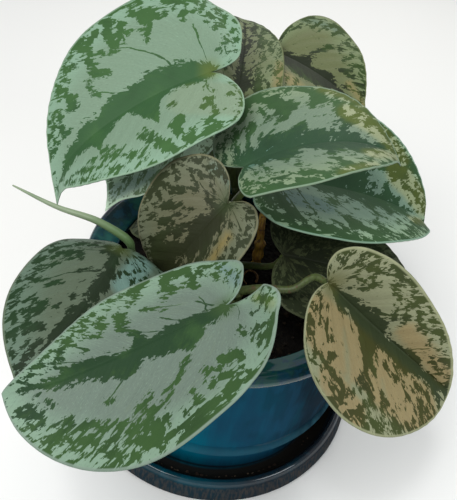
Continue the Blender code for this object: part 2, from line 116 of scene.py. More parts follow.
# One side of a blade's margin, from the stalk to the tip: share of the length along the midrib, and
# share of the half width
HEART_OUTLINE = (
    (0.0, 0.0), (-0.05, 0.08), (-0.115, 0.26), (-0.135, 0.50), (-0.085, 0.76), (0.03, 0.94),
    (0.19, 1.0), (0.38, 0.965), (0.57, 0.82), (0.74, 0.58), (0.87, 0.31), (0.955, 0.10), (1.0, 0.0),
)
OVAL_OUTLINE = (
    (0.0, 0.0), (-0.05, 0.08), (-0.115, 0.24), (-0.135, 0.44), (-0.095, 0.66), (0.02, 0.84),
    (0.19, 0.95), (0.40, 1.0), (0.60, 0.95), (0.77, 0.80), (0.90, 0.55), (0.97, 0.25), (1.0, 0.0),
)
OUTLINE_ASPECT = 0.42

# base: where the stalk meets the blade. heading, pitch, roll: anticlockwise from +X, nose down, left side
# up. lobe, belly: how far the lobes reach back, and how oval the outline is. bend, curl: droop over the
# length, and more of it near the tip. fold: rise of each half from the midrib. cup: how far the margin
# hangs. twist: turn from the stalk to the tip. lift: rise of the lobes. ripple: waves of the margin.
# drip: drawn-out tip. route: the stalk's vine, the height it leaves at, and points on its way.
# sweep: how far the tip swings left. sinus: how far the notch behind the stalk closes.
# Pairs are (left side, right side), looking from the stalk to the tip.
Leaf = namedtuple(
    "Leaf",
    "base heading pitch roll length half_width lobe belly bend curl fold cup twist lift "
    "ripple drip route sweep sinus",
    defaults=(0.0, (0.0, 0.0)),
)

# foot: where the vine leaves the soil. top: end of its woody part.
Vine = namedtuple("Vine", "finish foot top radius")
VINES = {
    "vine_back": Vine("vine", (-0.004, 0.034), (-0.003, 0.037, 0.112), 0.0030),
    "vine_middle": Vine("vine", (-0.005, 0.002), (-0.005, 0.003, 0.106), 0.0030),
    "vine_left": Vine("vine", (-0.040, -0.008), (-0.0445, -0.0115, 0.092), 0.0026),
    "vine_front": Vine("vine", (0.002, -0.026), (0.003, -0.030, 0.104), 0.0030),
    "vine_right": Vine("dry_sheath", (0.0105, 0.0080), (0.0105, 0.0085, 0.097), 0.0026),
}

LEAVES = {
    "leaf_upper_left": Leaf(
        (-0.0230, 0.0455, 0.1540), -154, 16, 0, 0.0875, (0.0380, 0.0485), (0.62, 1.85),
        (0.28, 0.06), 31, 32, (2, 25), 0.0042, 0, -0.0021, 0.0008, 0.0080,
        ("vine_back", 0.104, ((-0.013, 0.037, 0.123), (-0.021, 0.037, 0.140))),
        sweep=0.0060, sinus=(0.2, 0.9)),
    "leaf_back": Leaf(
        (-0.0110, 0.0507, 0.1400), 90, -22, 12, 0.0740, (0.0180, 0.0215), (0.30, 0.60),
        (0.70, 0.80), 34, 12, (7, 7), 0.0031, 0, 0.0, 0.0006, -0.0030,
        ("vine_back", 0.109, ((-0.006, 0.042, 0.124),))),
    "leaf_back_right": Leaf(
        (0.0045, 0.1035, 0.1390), -27, -1, 6, 0.0560, (0.0350, 0.0320), (0.60, 0.60),
        (-0.10, 0.30), 30, 15, (16, 10), 0.0032, 0, 0.0, 0.0008, 0.0050,
        ("vine_back", 0.098, ((0.002, 0.060, 0.114), (0.000, 0.088, 0.127)))),
    "leaf_upper_right": Leaf(
        (-0.0025, 0.0020, 0.1390), 18, -34, -9, 0.0680, (0.0385, 0.0300), (1.15, 0.38),
        (0.34, 0.29), 54, 25, (16, 11), 0.0030, 5, -0.0015, 0.0006, 0.0030,
        ("vine_middle", 0.100, ((-0.0045, 0.003, 0.118),))),
    "leaf_lower_right": Leaf(
        (0.0105, 0.0200, 0.1215), 17, 5, 1, 0.0965, (0.0405, 0.0395), (0.55, 0.97),
        (0.42, -0.05), 29, 14, (33, 10), 0.0031, 0, 0.0, 0.0006, -0.0085,
        ("vine_right", 0.090, ((0.0095, 0.0125, 0.106),))),
    "leaf_centre": Leaf(
        (-0.0065, -0.0110, 0.1300), 216, 43, -16, 0.0530, (0.0225, 0.0300), (1.0, 1.30),
        (0.80, 0.40), 47, 20, (16, 14), 0.0029, 0, 0.0, 0.0005, 0.0020,
        ("vine_middle", 0.095, ((-0.0045, -0.002, 0.112),))),
    "leaf_left": Leaf(
        (-0.0455, -0.0235, 0.1080), -98, -18, -10, 0.0785, (0.0320, 0.0300), (1.0, 1.0),
        (0.30, 0.26), 38, 28, (-14, -15), 0.0031, 0, -0.0027, 0.0006, 0.0040,
        ("vine_left", 0.0880, ((-0.0465, -0.0165, 0.0960),))),
    "leaf_front": Leaf(
        (-0.0010, -0.0715, 0.1390), -154, 28, 8, 0.0785, (0.0420, 0.0325), (1.60, 0.95),
        (0.45, -0.12), -12, -31, (4, -23), -0.0065, -24, 0.0037, 0.0006, -0.0025,
        ("vine_front", 0.092, ((0.001, -0.048, 0.110), (0.001, -0.063, 0.124))),
        sinus=(0.0, 0.4)),
    "leaf_lower_front": Leaf(
        (0.0360, -0.0350, 0.1200), 3, 44, 45, 0.0785, (0.0195, 0.0388), (1.06, 0.83),
        (0.15, 0.60), -23, 5, (45, 33), 0.0025, 0, 0.0, 0.0006, -0.0015,
        ("vine_front", 0.101, ((0.0125, -0.0320, 0.1075), (0.0240, -0.0325, 0.1105)))),
    "leaf_under_right": Leaf(
        (0.0200, -0.0100, 0.1060), 7, 8, 8, 0.0710, (0.0300, 0.0320), (0.62, 0.60),
        (0.40, 0.40), 18, 16, (8, 7), 0.0030, 0, 0.0, 0.0006, 0.0040,
        ("vine_middle", 0.084, ((0.006, -0.004, 0.091),))),
    "leaf_under_left": Leaf(
        (-0.0335, 0.0430, 0.1275), -126, 18, 4, 0.0480, (0.0260, 0.0240), (0.60, 0.60),
        (0.30, 0.30), 18, 10, (10, 8), 0.0020, 0, 0.0, 0.0006, 0.0060,
        ("vine_back", 0.092, ((-0.015, 0.036, 0.104), (-0.028, 0.041, 0.118)))),
    "leaf_under_centre": Leaf(
        (-0.0215, 0.0030, 0.1030), 168, 8, 0, 0.0315, (0.0148, 0.0148), (1.0, 1.0),
        (0.30, 0.30), 30, 15, (10, 10), 0.0030, 0, 0.0, 0.0004, 0.0020,
        ("vine_middle", 0.087, ((-0.012, 0.003, 0.092),))),
}

# The rolled young leaf: vine, height its stalk leaves at, and end of that stalk; then its own route
SPIKE_STALK = ("vine_left", 0.0900, (-0.0436, -0.0140, 0.0985))
SPIKE_ROUTE = ((-0.0437, -0.0143, 0.0993), (-0.0442, -0.0162, 0.1050), (-0.0560, -0.0172, 0.1145),
               (-0.0740, -0.0160, 0.1180), (-0.0930, -0.0120, 0.1220))

# The winged foot of the tallest stalk, and the rolled shoot beside it
SHEATH_ROUTE = ((-0.0034, 0.0368, 0.0980), (-0.0046, 0.0374, 0.1075), (-0.0085, 0.0379, 0.1165),
                (-0.0128, 0.0374, 0.1235))
SHOOT_ROUTE = ((-0.0034, 0.0368, 0.1040), (-0.0100, 0.0380, 0.1100), (-0.0190, 0.0350, 0.1190),
               (-0.0235, 0.0330, 0.1235))

TENDRIL_CENTRE = (0.0085, -0.0035)
TENDRIL_RADIUS = 0.0032
TENDRIL_RISE = 0.0012
TENDRIL_THICKNESS = 0.0006

# A blade's markings, in millimetres on the flattened blade: x from the stalk to the tip, y to the left.
# ground: depth inside the green far from the margin, the same at the margin, and the reach of the
# margin's flecks. band: (x, lowest y, highest y) of the dark stretch along the midrib.
# green, silver: strokes (x, y, x, y, half width) of one colour on the other. warm, cool: the same for
# soft warm tints, and for painted sky reflection that lies as a cool bluish sheen on the silver.
# veins: (x, y, x, y) of thin dark lines.
Look = namedtuple("Look", "tone ground seed band green silver warm cool veins", defaults=((),) * 6)

LOOKS = {
    "leaf_upper_left": Look(
        "mint", (-2.7, -0.5, 10), 3.0,
        band=(
            (-3, -2, 1), (0, -5, 4), (4, -7, 5), (10, -8.5, 4), (16, -9.5, 3), (20, -9.5, 3), (25, -10, 5.5),
            (27, -10, 11), (30, -9.5, 18), (33, -9.5, 12), (36, -9, 8), (40, -9.5, 2), (45, -9.5, 3),
            (50, -6.5, 5), (54, -6, 8), (57, -7, 13), (60, -7, 6), (65, -4.5, 5), (70, -4, 4.5),
            (76, -1.5, 4), (82, 0, 3), (86, 0.5, 1)),
        green=(
            (9, 33, 21, 35, 2.4), (10, 30, 22, 31, 1.8), (8, 28, 12, 31, 1.5), (23, 35, 24, 26, 1.6),
            (24, 26, 21, 22, 1.8), (20, 20.5, 23, 21, 1.6), (24.5, 30, 25, 22, 1.2), (6, 28, 8, 21, 0.9),
            (7, 20, 10, 20, 1.6), (6, 17, 8, 17, 1.4), (1, 28, 3, 26, 0.8), (28, 35, 30, 33, 1.8),
            (29, 34, 33, 27, 2.2), (30, 30, 34, 28, 1.8), (33, 27, 36, 18, 1.5), (34, 21, 39, 20, 1.6),
            (36, 25, 39, 19, 1.4), (33, 24, 37, 22, 1.3), (38, 26, 46, 33, 1.3), (41, 30, 47, 26, 1.2),
            (36, 35, 44, 35.5, 0.9), (44, 25, 48, 28, 1.0), (47, 25, 50, 22, 1.0), (49, 19, 55, 20, 1.6),
            (52, 21, 57, 17, 1.8), (54, 15, 57, 13, 1.6), (50, 16, 53, 15, 1.0), (50, 29, 56, 26, 1.1),
            (55, 29, 60, 25, 1.0), (58, 22, 62, 19, 0.9), (60, 15, 63, 13, 1.0), (61, 20, 67, 16, 1.1),
            (64, 22, 69, 19, 0.9), (67, 15, 71, 12, 0.9), (70, 17, 75, 13, 0.9), (74, 11, 78, 9, 0.8),
            (62, 26, 68, 22, 0.8), (20.8, 11, 22.6, 11, 1.2), (-2, 18, -1.5, 18, 1.0), (-8, 17, -6, 19, 0.8),
            (-10, 9, -8, 11, 0.7), (-6, 23, -4, 25, 0.8), (4, 13, 5, 8, 0.7), (-15, -10, -9, -7, 0.9),
            (-17, -15, -10, -12, 1.0), (-18, -20, -12, -16, 1.0), (-17, -24, -9, -20, 1.0),
            (-18, -28, -13, -24, 1.0), (-12, -26, -6, -24, 0.8), (-14, -32, -9, -28, 1.0),
            (-10, -35, -6, -29, 1.0), (-6, -37, -3, -30, 1.0), (-3, -38, 0, -31, 1.0),
            (-13, -17, -10, -17, 0.8), (-16, -31, -13, -29, 0.9), (-12, -12, -7, -9, 0.7),
            (2, -27, 2, -33, 1.0), (0, -36, 3, -39, 1.1), (4, -34, 6, -41, 1.1), (8, -33, 7, -38, 1.3),
            (8, -38, 12, -36, 1.3), (11, -33, 13, -40, 1.2), (5, -44, 10, -43, 1.0), (20, -24, 15, -33, 1.3),
            (18, -28, 20, -30, 1.3), (13, -35, 19, -37, 1.2), (17, -35, 15, -46, 1.8),
            (19, -38, 20, -44, 1.4), (34, -28, 26, -36, 2.0), (33, -30, 31, -44, 2.6),
            (27, -36, 26, -39, 2.0), (28, -42, 32, -45, 2.2), (25, -33, 28, -30, 1.2),
            (40, -20, 45, -23, 1.5), (44, -22, 45, -30, 2.0), (43, -31, 42, -39, 1.9),
            (45, -33, 46, -38, 1.5), (40, -38, 36, -42, 1.3), (38, -30, 41, -31, 1.0),
            (47, -13, 50, -20, 1.1), (49, -16, 49.5, -21, 1.3), (57, -18, 61, -17, 1.6),
            (59, -16, 60, -24, 1.8), (60, -24, 63, -24, 1.2), (56, -28, 58, -30, 1.2),
            (61, -27, 62, -34, 1.4), (57, -30, 63, -30, 1.1), (66, -9, 69, -11, 1.1), (68, -12, 66, -18, 1.2),
            (69, -14, 71, -17, 1.0), (71, -10, 74, -11, 0.9), (73, -15, 78, -14, 0.9),
            (67, -20, 72, -19, 1.0), (76, -9, 80, -10, 0.8), (73, -19, 70, -23, 0.9), (49, -31, 55, -33, 1.5),
            (50, -37, 56, -35, 1.4), (48, -40, 44, -42, 1.2), (52, -40, 58, -37, 0.9),
            (64, -31, 60, -36, 0.9), (36, -46, 42, -45, 0.9), (22, -47, 28, -47, 0.8)),
        silver=((15, 31.5, 17, 32.5, 1.6), (40, 2, 41.5, 3, 1.0), (30, -35, 30.5, -37, 0.9)),
        warm=((-5, 24, 14, 12, 12),),
        veins=(
            (14, -9, 19, -17), (19, -17, 27, -25), (27, -25, 34, -29), (0, -5, -1, -24), (41, -9, 48, -14),
            (5, 5, 5, 14))),
    "leaf_front": Look(
        "grey", (-2.6, -0.5, 8), 11.0,
        band=(
            (-3, -1, 2), (0, -2, 4), (5, -1.5, 5), (9, -2.5, 5), (12, -4, 9), (15, -3, 10), (20, -3.5, 8),
            (24, -2.5, 8), (27, -2, 6), (29, -5, 6.5), (31, -9, 7), (33, -2.5, 8), (38, -2, 9), (41, -3, 8),
            (44, -4, 6), (48, -4, 4), (52, -5.5, 3.5), (56, -3, 3), (60, -2.5, 2.5), (66, -1.5, 1.5),
            (71, -0.5, 0.7)),
        green=(
            (-15, 20, -12, 14, 1.2), (-12, 14, -9, 8, 0.9), (-14, 17, -11, 19, 0.9), (-9, 27, -5, 22, 2.0),
            (-10, 24, -6, 26, 1.5), (-8, 30, -4, 29, 1.1), (-7, 18, -4, 17, 1.1), (-3, 17, -1, 14, 1.2),
            (-9, 14, -8, 12, 0.8), (0, 33, 2, 29, 1.5), (1, 26, 3, 21, 1.4), (3, 31, 8, 28, 1.5),
            (5, 24, 8, 21, 1.6), (2, 22, 7, 22, 1.2), (7, 33, 8, 36, 1.6), (4, 34, 6, 36, 1.2),
            (8, 28, 10, 30, 1.0), (11, 30, 12, 22, 1.2), (10, 24, 13, 23, 1.1), (12, 28, 14, 27, 1.0),
            (12, 40, 22, 39, 0.8), (12, 36, 16, 36, 1.6), (18, 39, 18, 30, 1.2), (22, 40, 22, 32, 1.2),
            (15, 33, 19, 31, 1.3), (17, 29, 18, 27, 1.0), (20, 36, 24, 35, 0.8), (25, 37, 29, 36, 0.9),
            (27, 35, 28, 30, 1.1), (31, 38, 33, 34, 2.0), (30, 34, 33, 28, 2.4), (34, 35, 38, 31, 2.2),
            (33, 30, 38, 27, 2.2), (36, 25, 40, 27, 2.0), (31, 25, 36, 22, 1.4), (33, 21, 31, 20, 1.0),
            (39, 36, 43, 34, 1.6), (38, 33, 40, 31, 1.5), (41, 24, 48, 23, 1.8), (44, 27, 50, 28, 1.3),
            (50, 26, 54, 22, 1.8), (49, 20, 53, 19, 1.5), (46, 21, 49, 20, 1.0), (52, 29, 55, 27, 1.2),
            (43, 33, 48, 31, 1.1), (47, 35, 52, 33, 1.0), (17, 14, 20, 18, 0.9), (20, 18, 26, 21, 1.0),
            (24, 22, 28, 24, 0.9), (44, 14, 45, 14.5, 1.6), (56, 25, 60, 24, 1.2), (57, 22, 60, 20, 1.3),
            (56, 17, 63, 18, 1.6), (58, 15, 62, 14, 1.6), (61, 21, 65, 18, 1.2), (63, 24, 66, 21, 1.0),
            (55, 29, 60, 27, 1.0), (65, 12, 66, 9, 1.1), (67, 14, 69, 11, 1.0), (67, 8, 69, 5, 1.0),
            (70, 9, 71, 6, 0.9), (68, 17, 70, 14, 0.9), (62, 7, 63, 5, 0.7), (20, -14, 26, -18, 0.9),
            (25, -17, 27, -18, 1.2), (31, -7, 36, -12, 1.2), (35, -11, 37, -14, 1.6), (35, -14, 36, -20, 1.8),
            (34, -19, 36, -20, 1.5), (43, -13, 50, -14, 1.3), (42, -16, 46, -19, 1.8),
            (48, -19, 50, -15, 1.6), (43, -14, 43, -18, 1.2), (49, -9, 51, -12, 0.9), (56, -8, 58, -9, 1.2),
            (57, -9, 58, -12, 1.1), (57, -4, 64, -8, 0.8), (58, -8, 63, -11, 0.8), (60, -4, 66, -5, 0.8),
            (64, -9, 67, -7, 1.0), (66, -5, 70, -4, 0.9), (52, -17, 57, -14, 1.4), (53, -15, 58, -12, 1.0),
            (47, -21, 53, -20, 1.0), (41, -24, 47, -22, 1.0), (59, -13, 64, -10, 0.9), (0, -19, 2, -24, 1.0),
            (3, -22, 6, -26, 1.2), (1, -27, 5, -28, 1.2), (-3, -14, -5, -18, 1.2), (-5, -7, -7, -12, 0.9),
            (-4, -20, -2, -24, 1.0), (8, -19, 10, -24, 1.5), (9, -24, 8, -29, 1.6), (12, -22, 18, -20, 1.3),
            (16, -21, 18, -27, 1.8), (13, -29, 18, -29, 1.6), (10, -30, 14, -31, 1.3),
            (18, -24, 16, -30, 2.0), (28, -26, 31, -22, 1.2), (26, -29, 30, -28, 1.3),
            (31, -24, 32, -28, 1.0), (33, -27, 38, -27, 1.1), (21, -31, 26, -31, 1.0),
            (38, -23, 42, -20, 0.9)),
        silver=(
            (45.5, -16.5, 47, -16.5, 1.4), (12.5, -25, 14, -26, 2.2), (4, 26, 6, 27, 1.4),
            (46, 25.5, 47, 25.5, 1.0)),
        warm=((-14, 22, -10, 8, 3),),
        cool=((-7, -8, -3, -24, 4),),
        veins=(
            (4, -3, 9, -11), (7, -2, 8, -13), (15, -4, 23, -11), (24, -3, 31, -8), (38, 9, 45, 14),
            (14, -12, 27, -18), (-3, 3, -2, 9), (50, -4, 62, -9))),
    "leaf_lower_front": Look(
        "olive", (-1.9, 0.2, 10), 23.0,
        band=(
            (-1, -1, 1), (2, -3, 1.6), (5, -4, 2), (8, -6, 2), (11, -5, 2), (14, -4, 3), (20, -6, 3.5),
            (23, -10, 4.5), (26, -14, 5.5), (29, -19, 5), (31, -21, 4), (32, -15, 3.5), (33, -8, 3),
            (36, -6, 1.5), (40, -7, 1), (44, -8, 1), (48, -8, 1.5), (52, -9, 3), (54, -7, 3.5), (57, -6, 2),
            (60, -5, 0.5), (65, -5, 0.5), (70, -5, 1), (75, -4, 1), (77, -1, 0.5)),
        green=(
            (-9, 13, -7, 9, 0.9), (-6, 14, -2, 10, 0.9), (-8, 8, -3, 7, 0.7), (-3, 16, 3, 14, 1.0),
            (-1, 11, 2, 8, 0.9), (1, 14, 4, 12, 1.0), (2, 9, 3, 5, 0.9), (6, 7, 7, 5, 0.8),
            (5, 14, 9, 11, 1.0), (8, 8, 10, 6, 0.8), (5, 17, 12, 18, 1.0), (7, 14, 14, 15, 1.0),
            (12, 12, 11, 6, 1.0), (14, 17, 20, 18, 1.0), (16, 14, 22, 13, 1.0), (22, 17, 27, 16, 1.1),
            (24, 12, 27, 11, 1.0), (28, 9, 31, 6, 1.3), (29, 11, 33, 14, 1.1), (31, 14, 33, 18, 1.2),
            (33, 10, 36, 8, 1.1), (34, 14, 38, 12, 1.0), (36, 17, 42, 15, 1.0), (40, 11, 48, 10, 1.1),
            (44, 14, 50, 12, 1.0), (50, 9, 54, 6, 1.0), (52, 12, 58, 9, 0.9), (57, 6, 60, 4, 0.8),
            (60, 7, 66, 5, 0.8), (64, 3, 70, 2.5, 0.7), (31, -12, 34, -15, 2.4), (2, -14, 5, -18, 1.4),
            (4, -20, 8, -17, 1.2), (1, -10, 2, -8, 0.9), (-5, -12, -3, -20, 0.9), (-6, -18, -4, -25, 1.0),
            (-3, -8, -1, -16, 0.8), (-3, -22, 0, -28, 1.0), (2, -26, 8, -26, 1.3), (8, -24, 12, -22, 1.1),
            (9, -28, 13, -30, 1.3), (13, -27, 15, -33, 1.2), (6, -30, 8, -33, 1.1), (3, -32, 6, -34, 1.0),
            (16, -26, 20, -31, 1.2), (18, -33, 24, -34, 1.0), (22, -31, 27, -29, 1.2),
            (27, -24, 30, -21, 1.2), (30, -25, 34, -21, 1.4), (33, -20, 36, -22, 1.5),
            (35, -23, 37, -28, 1.7), (36, -27, 31, -33, 1.2), (30, -34, 36, -33, 1.1),
            (41, -22, 45, -24, 1.3), (42, -25, 45, -27, 1.2), (49, -24, 52, -22, 1.1),
            (51, -25, 52, -29, 1.5), (47, -30, 50, -31, 1.1), (54, -27, 56, -30, 1.0),
            (40, -34, 46, -33, 1.0), (52, -12, 56, -15, 1.0), (54, -16, 56, -20, 1.1),
            (40, -10, 47, -14, 0.8), (45, -9, 48, -11, 0.9), (58, -10, 62, -9, 1.1), (62, -13, 64, -16, 1.2),
            (60, -16, 62, -20, 1.1), (65, -8, 68, -12, 1.1), (62, -21, 58, -25, 1.1), (68, -5, 72, -6, 1.2),
            (66, -15, 69, -12, 0.9), (72, -3, 75, -4, 0.9)),
        warm=((0, -16, 62, -16, 13), (10, -30, 30, -34, 8), (40, 6, 70, 3, 6)),
        cool=((14, -12, 21, -24, 3.2), (40, -17, 44, -22, 3.0), (26, -27, 34, -26, 3.0)),
        veins=((47, -1, 54, 7), (14, -4, 19, -10))),
    "leaf_upper_right": Look(
        "mossy", (1.8, 1.1, 6), 31.0,
        silver=(
            (-5, 6, -3, 11, 1.3), (-9, 11, -6, 16, 1.7), (-4, 13, -2, 18, 1.6), (-11, 19, -8, 24, 1.6),
            (-5, 21, -3, 26, 1.8), (-8, 27, -4, 31, 1.5), (1, 24, 4, 29, 1.7), (4, 31, 8, 34, 1.2),
            (-1, 30, 2, 34, 1.3), (-8, -4, -6, -8, 1.2), (-5, -8, -3, -12, 1.3), (-9, -10, -7, -14, 1.1),
            (-4, -15, -1, -18, 1.2), (-7, -17, -4, -21, 1.1), (0, -20, 3, -23, 1.1), (5, 21, 8, 24, 1.2),
            (2, 8, 4, 13, 1.4), (3, 14, 5, 18, 1.8), (7, 8, 9, 12, 1.4), (8, 12, 13, 16, 2.0),
            (13, 12, 15, 17, 2.0), (16, 15, 14, 12, 1.6), (11, 20, 15, 17, 1.5), (13, 22, 12, 29, 1.6),
            (15, 28, 17, 22, 1.5), (10, 26, 12, 22, 1.4), (17, 11, 22, 13, 1.6), (20, 12, 27, 15, 2.4),
            (26, 16, 30, 20, 2.8), (24, 13, 28, 17, 2.2), (31, 10, 36, 9, 1.8), (32, 13, 38, 13, 2.8),
            (31, 17, 38, 17, 2.6), (33, 19, 40, 20, 1.6), (29, 16, 32, 18, 1.8), (24, 31, 28, 32, 1.3),
            (27, 28, 31, 26, 1.5), (25, 29, 29, 29, 1.4), (31, 31, 32, 27, 0.9), (41, 27, 42, 25, 1.4),
            (46, 21, 47, 15, 1.6), (45, 25, 47, 22, 1.1), (51, 14, 50, 10, 1.2), (53, 17, 52, 15, 1.0),
            (46, 7, 50, 6, 1.6), (48, 9, 53, 8, 2.0), (50, 5, 52, 6, 1.4), (54, 3, 56, 7, 1.6),
            (55, 9, 58, 6, 1.8), (57, 3, 59, 5, 1.4), (40, 7, 42, 10, 1.0), (36, 8, 38, 9, 1.0),
            (15, 36, 22, 37, 0.9), (34, 35, 38, 33, 1.1), (18, 33, 22, 34, 0.9), (0, 20, -2, 26, 1.2),
            (62, -1, 68, 1, 1.6), (10, -6, 12, -9, 1.4), (11, -8, 16, -14, 2.6), (12, -14, 18, -18, 2.8),
            (11, -18, 14, -20, 1.8), (19, -10, 17, -17, 1.6), (21, -9, 26, -8, 1.8), (25, -4, 27, -6, 1.6),
            (24, -10, 29, -9, 2.8), (23, -14, 29, -15, 3.0), (22, -18, 28, -20, 2.2), (26, -21, 29, -22, 1.6),
            (31, -14, 33, -18, 1.1), (30, -20, 34, -20, 1.1), (36, -13, 41, -12, 1.5),
            (38, -16, 44, -14, 2.0), (40, -18, 44, -17, 1.8), (38, -11, 40, -10, 1.1),
            (47, -12, 50, -10, 1.5), (51, -12, 56, -8, 1.6), (50, -16, 54, -13, 1.4), (45, -20, 49, -18, 1.2),
            (55, -4, 58, -2, 1.4), (58, -5, 64, -1, 1.5), (56, -10, 60, -6, 1.3), (1, -8, 3, -14, 1.5),
            (3, -4, 7, -10, 1.2), (4, -16, 6, -12, 1.0), (6, -14, 8, -20, 1.0), (12, -25, 15, -27, 1.1),
            (33, -22, 37, -24, 1.2), (22, -25, 26, -26, 0.9), (9, -22, 11, -25, 0.9),
            (16, -22, 19, -23, 0.8)),
        warm=((48, 16, 64, 6, 8), (40, 32, 54, 22, 5), (50, -10, 66, -1, 6), (34, -26, 48, -19, 4)),
        cool=((4, 0, 12, 0, 7),)),
    "leaf_lower_right": Look(
        "sunk", (1.7, 0.4, 9), 41.0,
        silver=(
            (4, -10, 5, -20, 2.0), (8, -10, 8, -22, 2.2), (13, -6, 13, -20, 2.6), (17, -5, 18, -20, 2.6),
            (20, -8, 21, -14, 1.4), (15, -20, 16, -28, 2.2), (10, -22, 11, -28, 1.6), (20, -22, 25, -29, 2.2),
            (22, -18, 20, -26, 1.7), (5, -20, 8, -28, 1.4), (24, -9, 26, -8, 1.2), (28, -12, 33, -8, 1.7),
            (30, -16, 38, -12, 2.8), (27, -19, 36, -18, 2.6), (33, -22, 42, -20, 2.4),
            (38, -15, 41, -18, 2.0), (36, -26, 40, -28, 1.6), (43, -16, 42, -13, 1.2),
            (48, -14, 54, -17, 1.8), (50, -11, 52, -13, 1.2), (46, -20, 54, -21, 1.8),
            (57, -15, 64, -11, 2.0), (54, -23, 60, -21, 1.6), (60, -18, 66, -14, 1.6),
            (44, -24, 50, -28, 1.6), (50, -24, 56, -27, 1.3), (75, -4, 82, -1, 1.8), (78, 0, 86, 2, 1.5),
            (50, 4, 57, 3, 1.1), (53, 6, 57, 6, 1.2), (50, 8, 60, 11, 1.8), (64, 7, 70, 5, 2.0),
            (68, 8, 74, 4, 2.4), (70, 3, 78, 1.5, 1.6), (74, 8, 78, 6, 1.4), (74, 18, 77, 13, 1.8),
            (72, 13, 75, 12, 1.2), (70, 22, 71, 20, 1.0), (84, 9, 85, 11, 1.0), (83, 5, 88, 2, 1.4),
            (80, 3, 84, 3, 1.1), (64, 29, 66, 24, 1.2), (61, 27, 64, 30, 1.3), (2, -30, 4, -34, 1.2),
            (8, -32, 10, -36, 1.0), (20, -32, 24, -35, 1.0), (-4, -20, -2, -26, 1.0), (30, -33, 36, -34, 0.9),
            (68, -12, 74, -7, 1.3), (6, 7, 16, 8, 2.6), (15, 13, 24, 12, 2.4), (40, 33, 50, 31, 2.8),
            (22, 28, 33, 30, 2.8), (8, 22, 16, 27, 2.4), (34, 14, 46, 15, 1.8), (54, 22, 60, 18, 2.2)),
        warm=((66, 14, 84, 8, 9), (58, 30, 70, 22, 6), (72, -10, 86, -2, 5)),
        cool=((6, -14, 18, -18, 8),),
        veins=((2, -8, 4, -30), (10, -5, 12, -26), (22, -4, 30, -20), (38, -6, 48, -18))),
    "leaf_left": Look(
        "teal", (-2.0, 0.1, 9), 53.0,
        # The band is partly the dark midrib and partly painted shade, widening over the left half near the
        # midrib
        band=(
            (-2, -2, 1), (0, -2.5, 1.5), (5, -4, 2), (8, -3, 2), (12, -1.5, 3), (20, -1.5, 4.5), (25, -1, 5),
            (30, -0.7, 4), (36, -1, 3), (42, -2.5, 3), (48, -3, 3), (55, -3, 2), (62, -3, 2), (70, -2, 1.5),
            (77, -1, 1)),
        green=(
            (0, -6, 5, -5, 1.8), (-2, -10, 2, -12, 1.8), (3, -8, 4, -11, 0.9), (0, -14, 3, -17, 1.4),
            (6, -15, 12, -13, 1.6), (9, -17, 14, -16, 2.0), (10, -13, 14, -11, 1.0), (19, -3, 21, -9, 0.9),
            (35, -4, 35.5, -4, 1.3), (40, -7, 42, -7.5, 0.8), (30, -13, 32, -16, 1.3),
            (29, -17, 32, -21, 1.4), (31, -21, 29, -26, 1.2), (41, -12, 46, -13, 1.2),
            (43, -14, 39, -18, 1.3), (45, -16, 48, -17, 1.2), (39, -18, 43, -20, 1.2), (52, -8, 53, -14, 1.8),
            (51, -13, 48, -15, 1.0), (53, -10, 56, -12, 1.2), (57, -6, 60, -8, 1.0), (58, -9, 61, -10, 1.0),
            (62, -6, 66, -8, 1.0), (63, -9, 66, -11, 1.0), (20, -20, 25, -24, 1.6), (22, -24, 27, -24, 1.3),
            (10, -20, 16, -22, 1.0), (15, -25, 20, -26, 1.2), (8, -24, 12, -26, 1.2), (5, -20, 7, -23, 1.2),
            (33, -22, 38, -24, 1.2), (42, -22, 48, -21, 1.0), (50, -19, 55, -17, 1.0),
            (55, -16, 60, -14, 1.0), (28, -28, 34, -27, 1.0), (0, 10, 4, 12, 1.0), (3, 7, 6, 6, 1.0),
            (6, 10, 9, 9, 1.0), (10, 8, 12, 9, 0.9), (2, 4, 8, 5, 0.9), (12, 11, 16, 10, 0.8),
            (-2, 8, 0, 6, 1.0), (12, 6, 15, 5, 0.8), (8, 14, 16, 16, 1.2), (22, 14, 30, 15, 1.4),
            (34, 12, 44, 14, 1.5), (30, 20, 40, 22, 1.8), (46, 20, 52, 16, 1.8), (54, 12, 62, 9, 1.6),
            (0, 20, 8, 22, 1.6), (16, 26, 26, 26, 1.4)),
        cool=((0, 9, 20, 9, 7),),
        veins=((19, -1, 24, -13), (24, -13, 30, -18), (5, -4, 6, -13))),
    "leaf_centre": Look(
        "dusk", (-1.5, -0.1, 8), 61.0,
        band=(
            (-3, -1, 1), (0, -2, 3), (5, -3, 5), (8, -3.5, 6), (12, -5, 6), (15, -6, 8), (18, -7, 10),
            (22, -9, 9), (26, -12, 10), (30, -15, 8), (35, -17, 5), (40, -14, 2), (50, -8, 0)),
        green=(
            (-7, 8, -3, 12, 1.0), (-5, 14, -2, 18, 1.0), (-1, 16, 3, 19, 1.3), (3, 19, 6, 16, 1.2),
            (5, 15, 8, 12, 1.0), (8, 17, 14, 19, 1.4), (14, 18, 16, 14, 1.2), (2, 12, 4, 8, 0.9),
            (-4, 4, -1, 2, 0.9), (5, 6, 9, 8, 0.8), (-8, -5, -6, -12, 1.2), (-6, -14, -3, -17, 1.4),
            (-2, -12, 1, -18, 1.2), (2, -5, -1, -10, 0.9), (5, -5, 3, -9, 0.8), (4, -14, 1, -20, 1.3),
            (5, -13, 9, -18, 1.4), (9, -17, 12, -21, 1.8), (12, -21, 14, -26, 1.6), (8, -21, 6, -25, 1.3),
            (10, -25, 12, -28, 1.0), (14, -14, 18, -18, 1.3), (19, -18, 22, -22, 1.6),
            (18, -22, 17, -26, 1.3), (22, -13, 26, -17, 1.8), (24, -20, 28, -22, 1.3),
            (16, -10, 19, -13, 1.0), (11, -8, 14, -11, 0.8), (26, -24, 30, -26, 1.2), (-3, -20, 0, -24, 1.2),
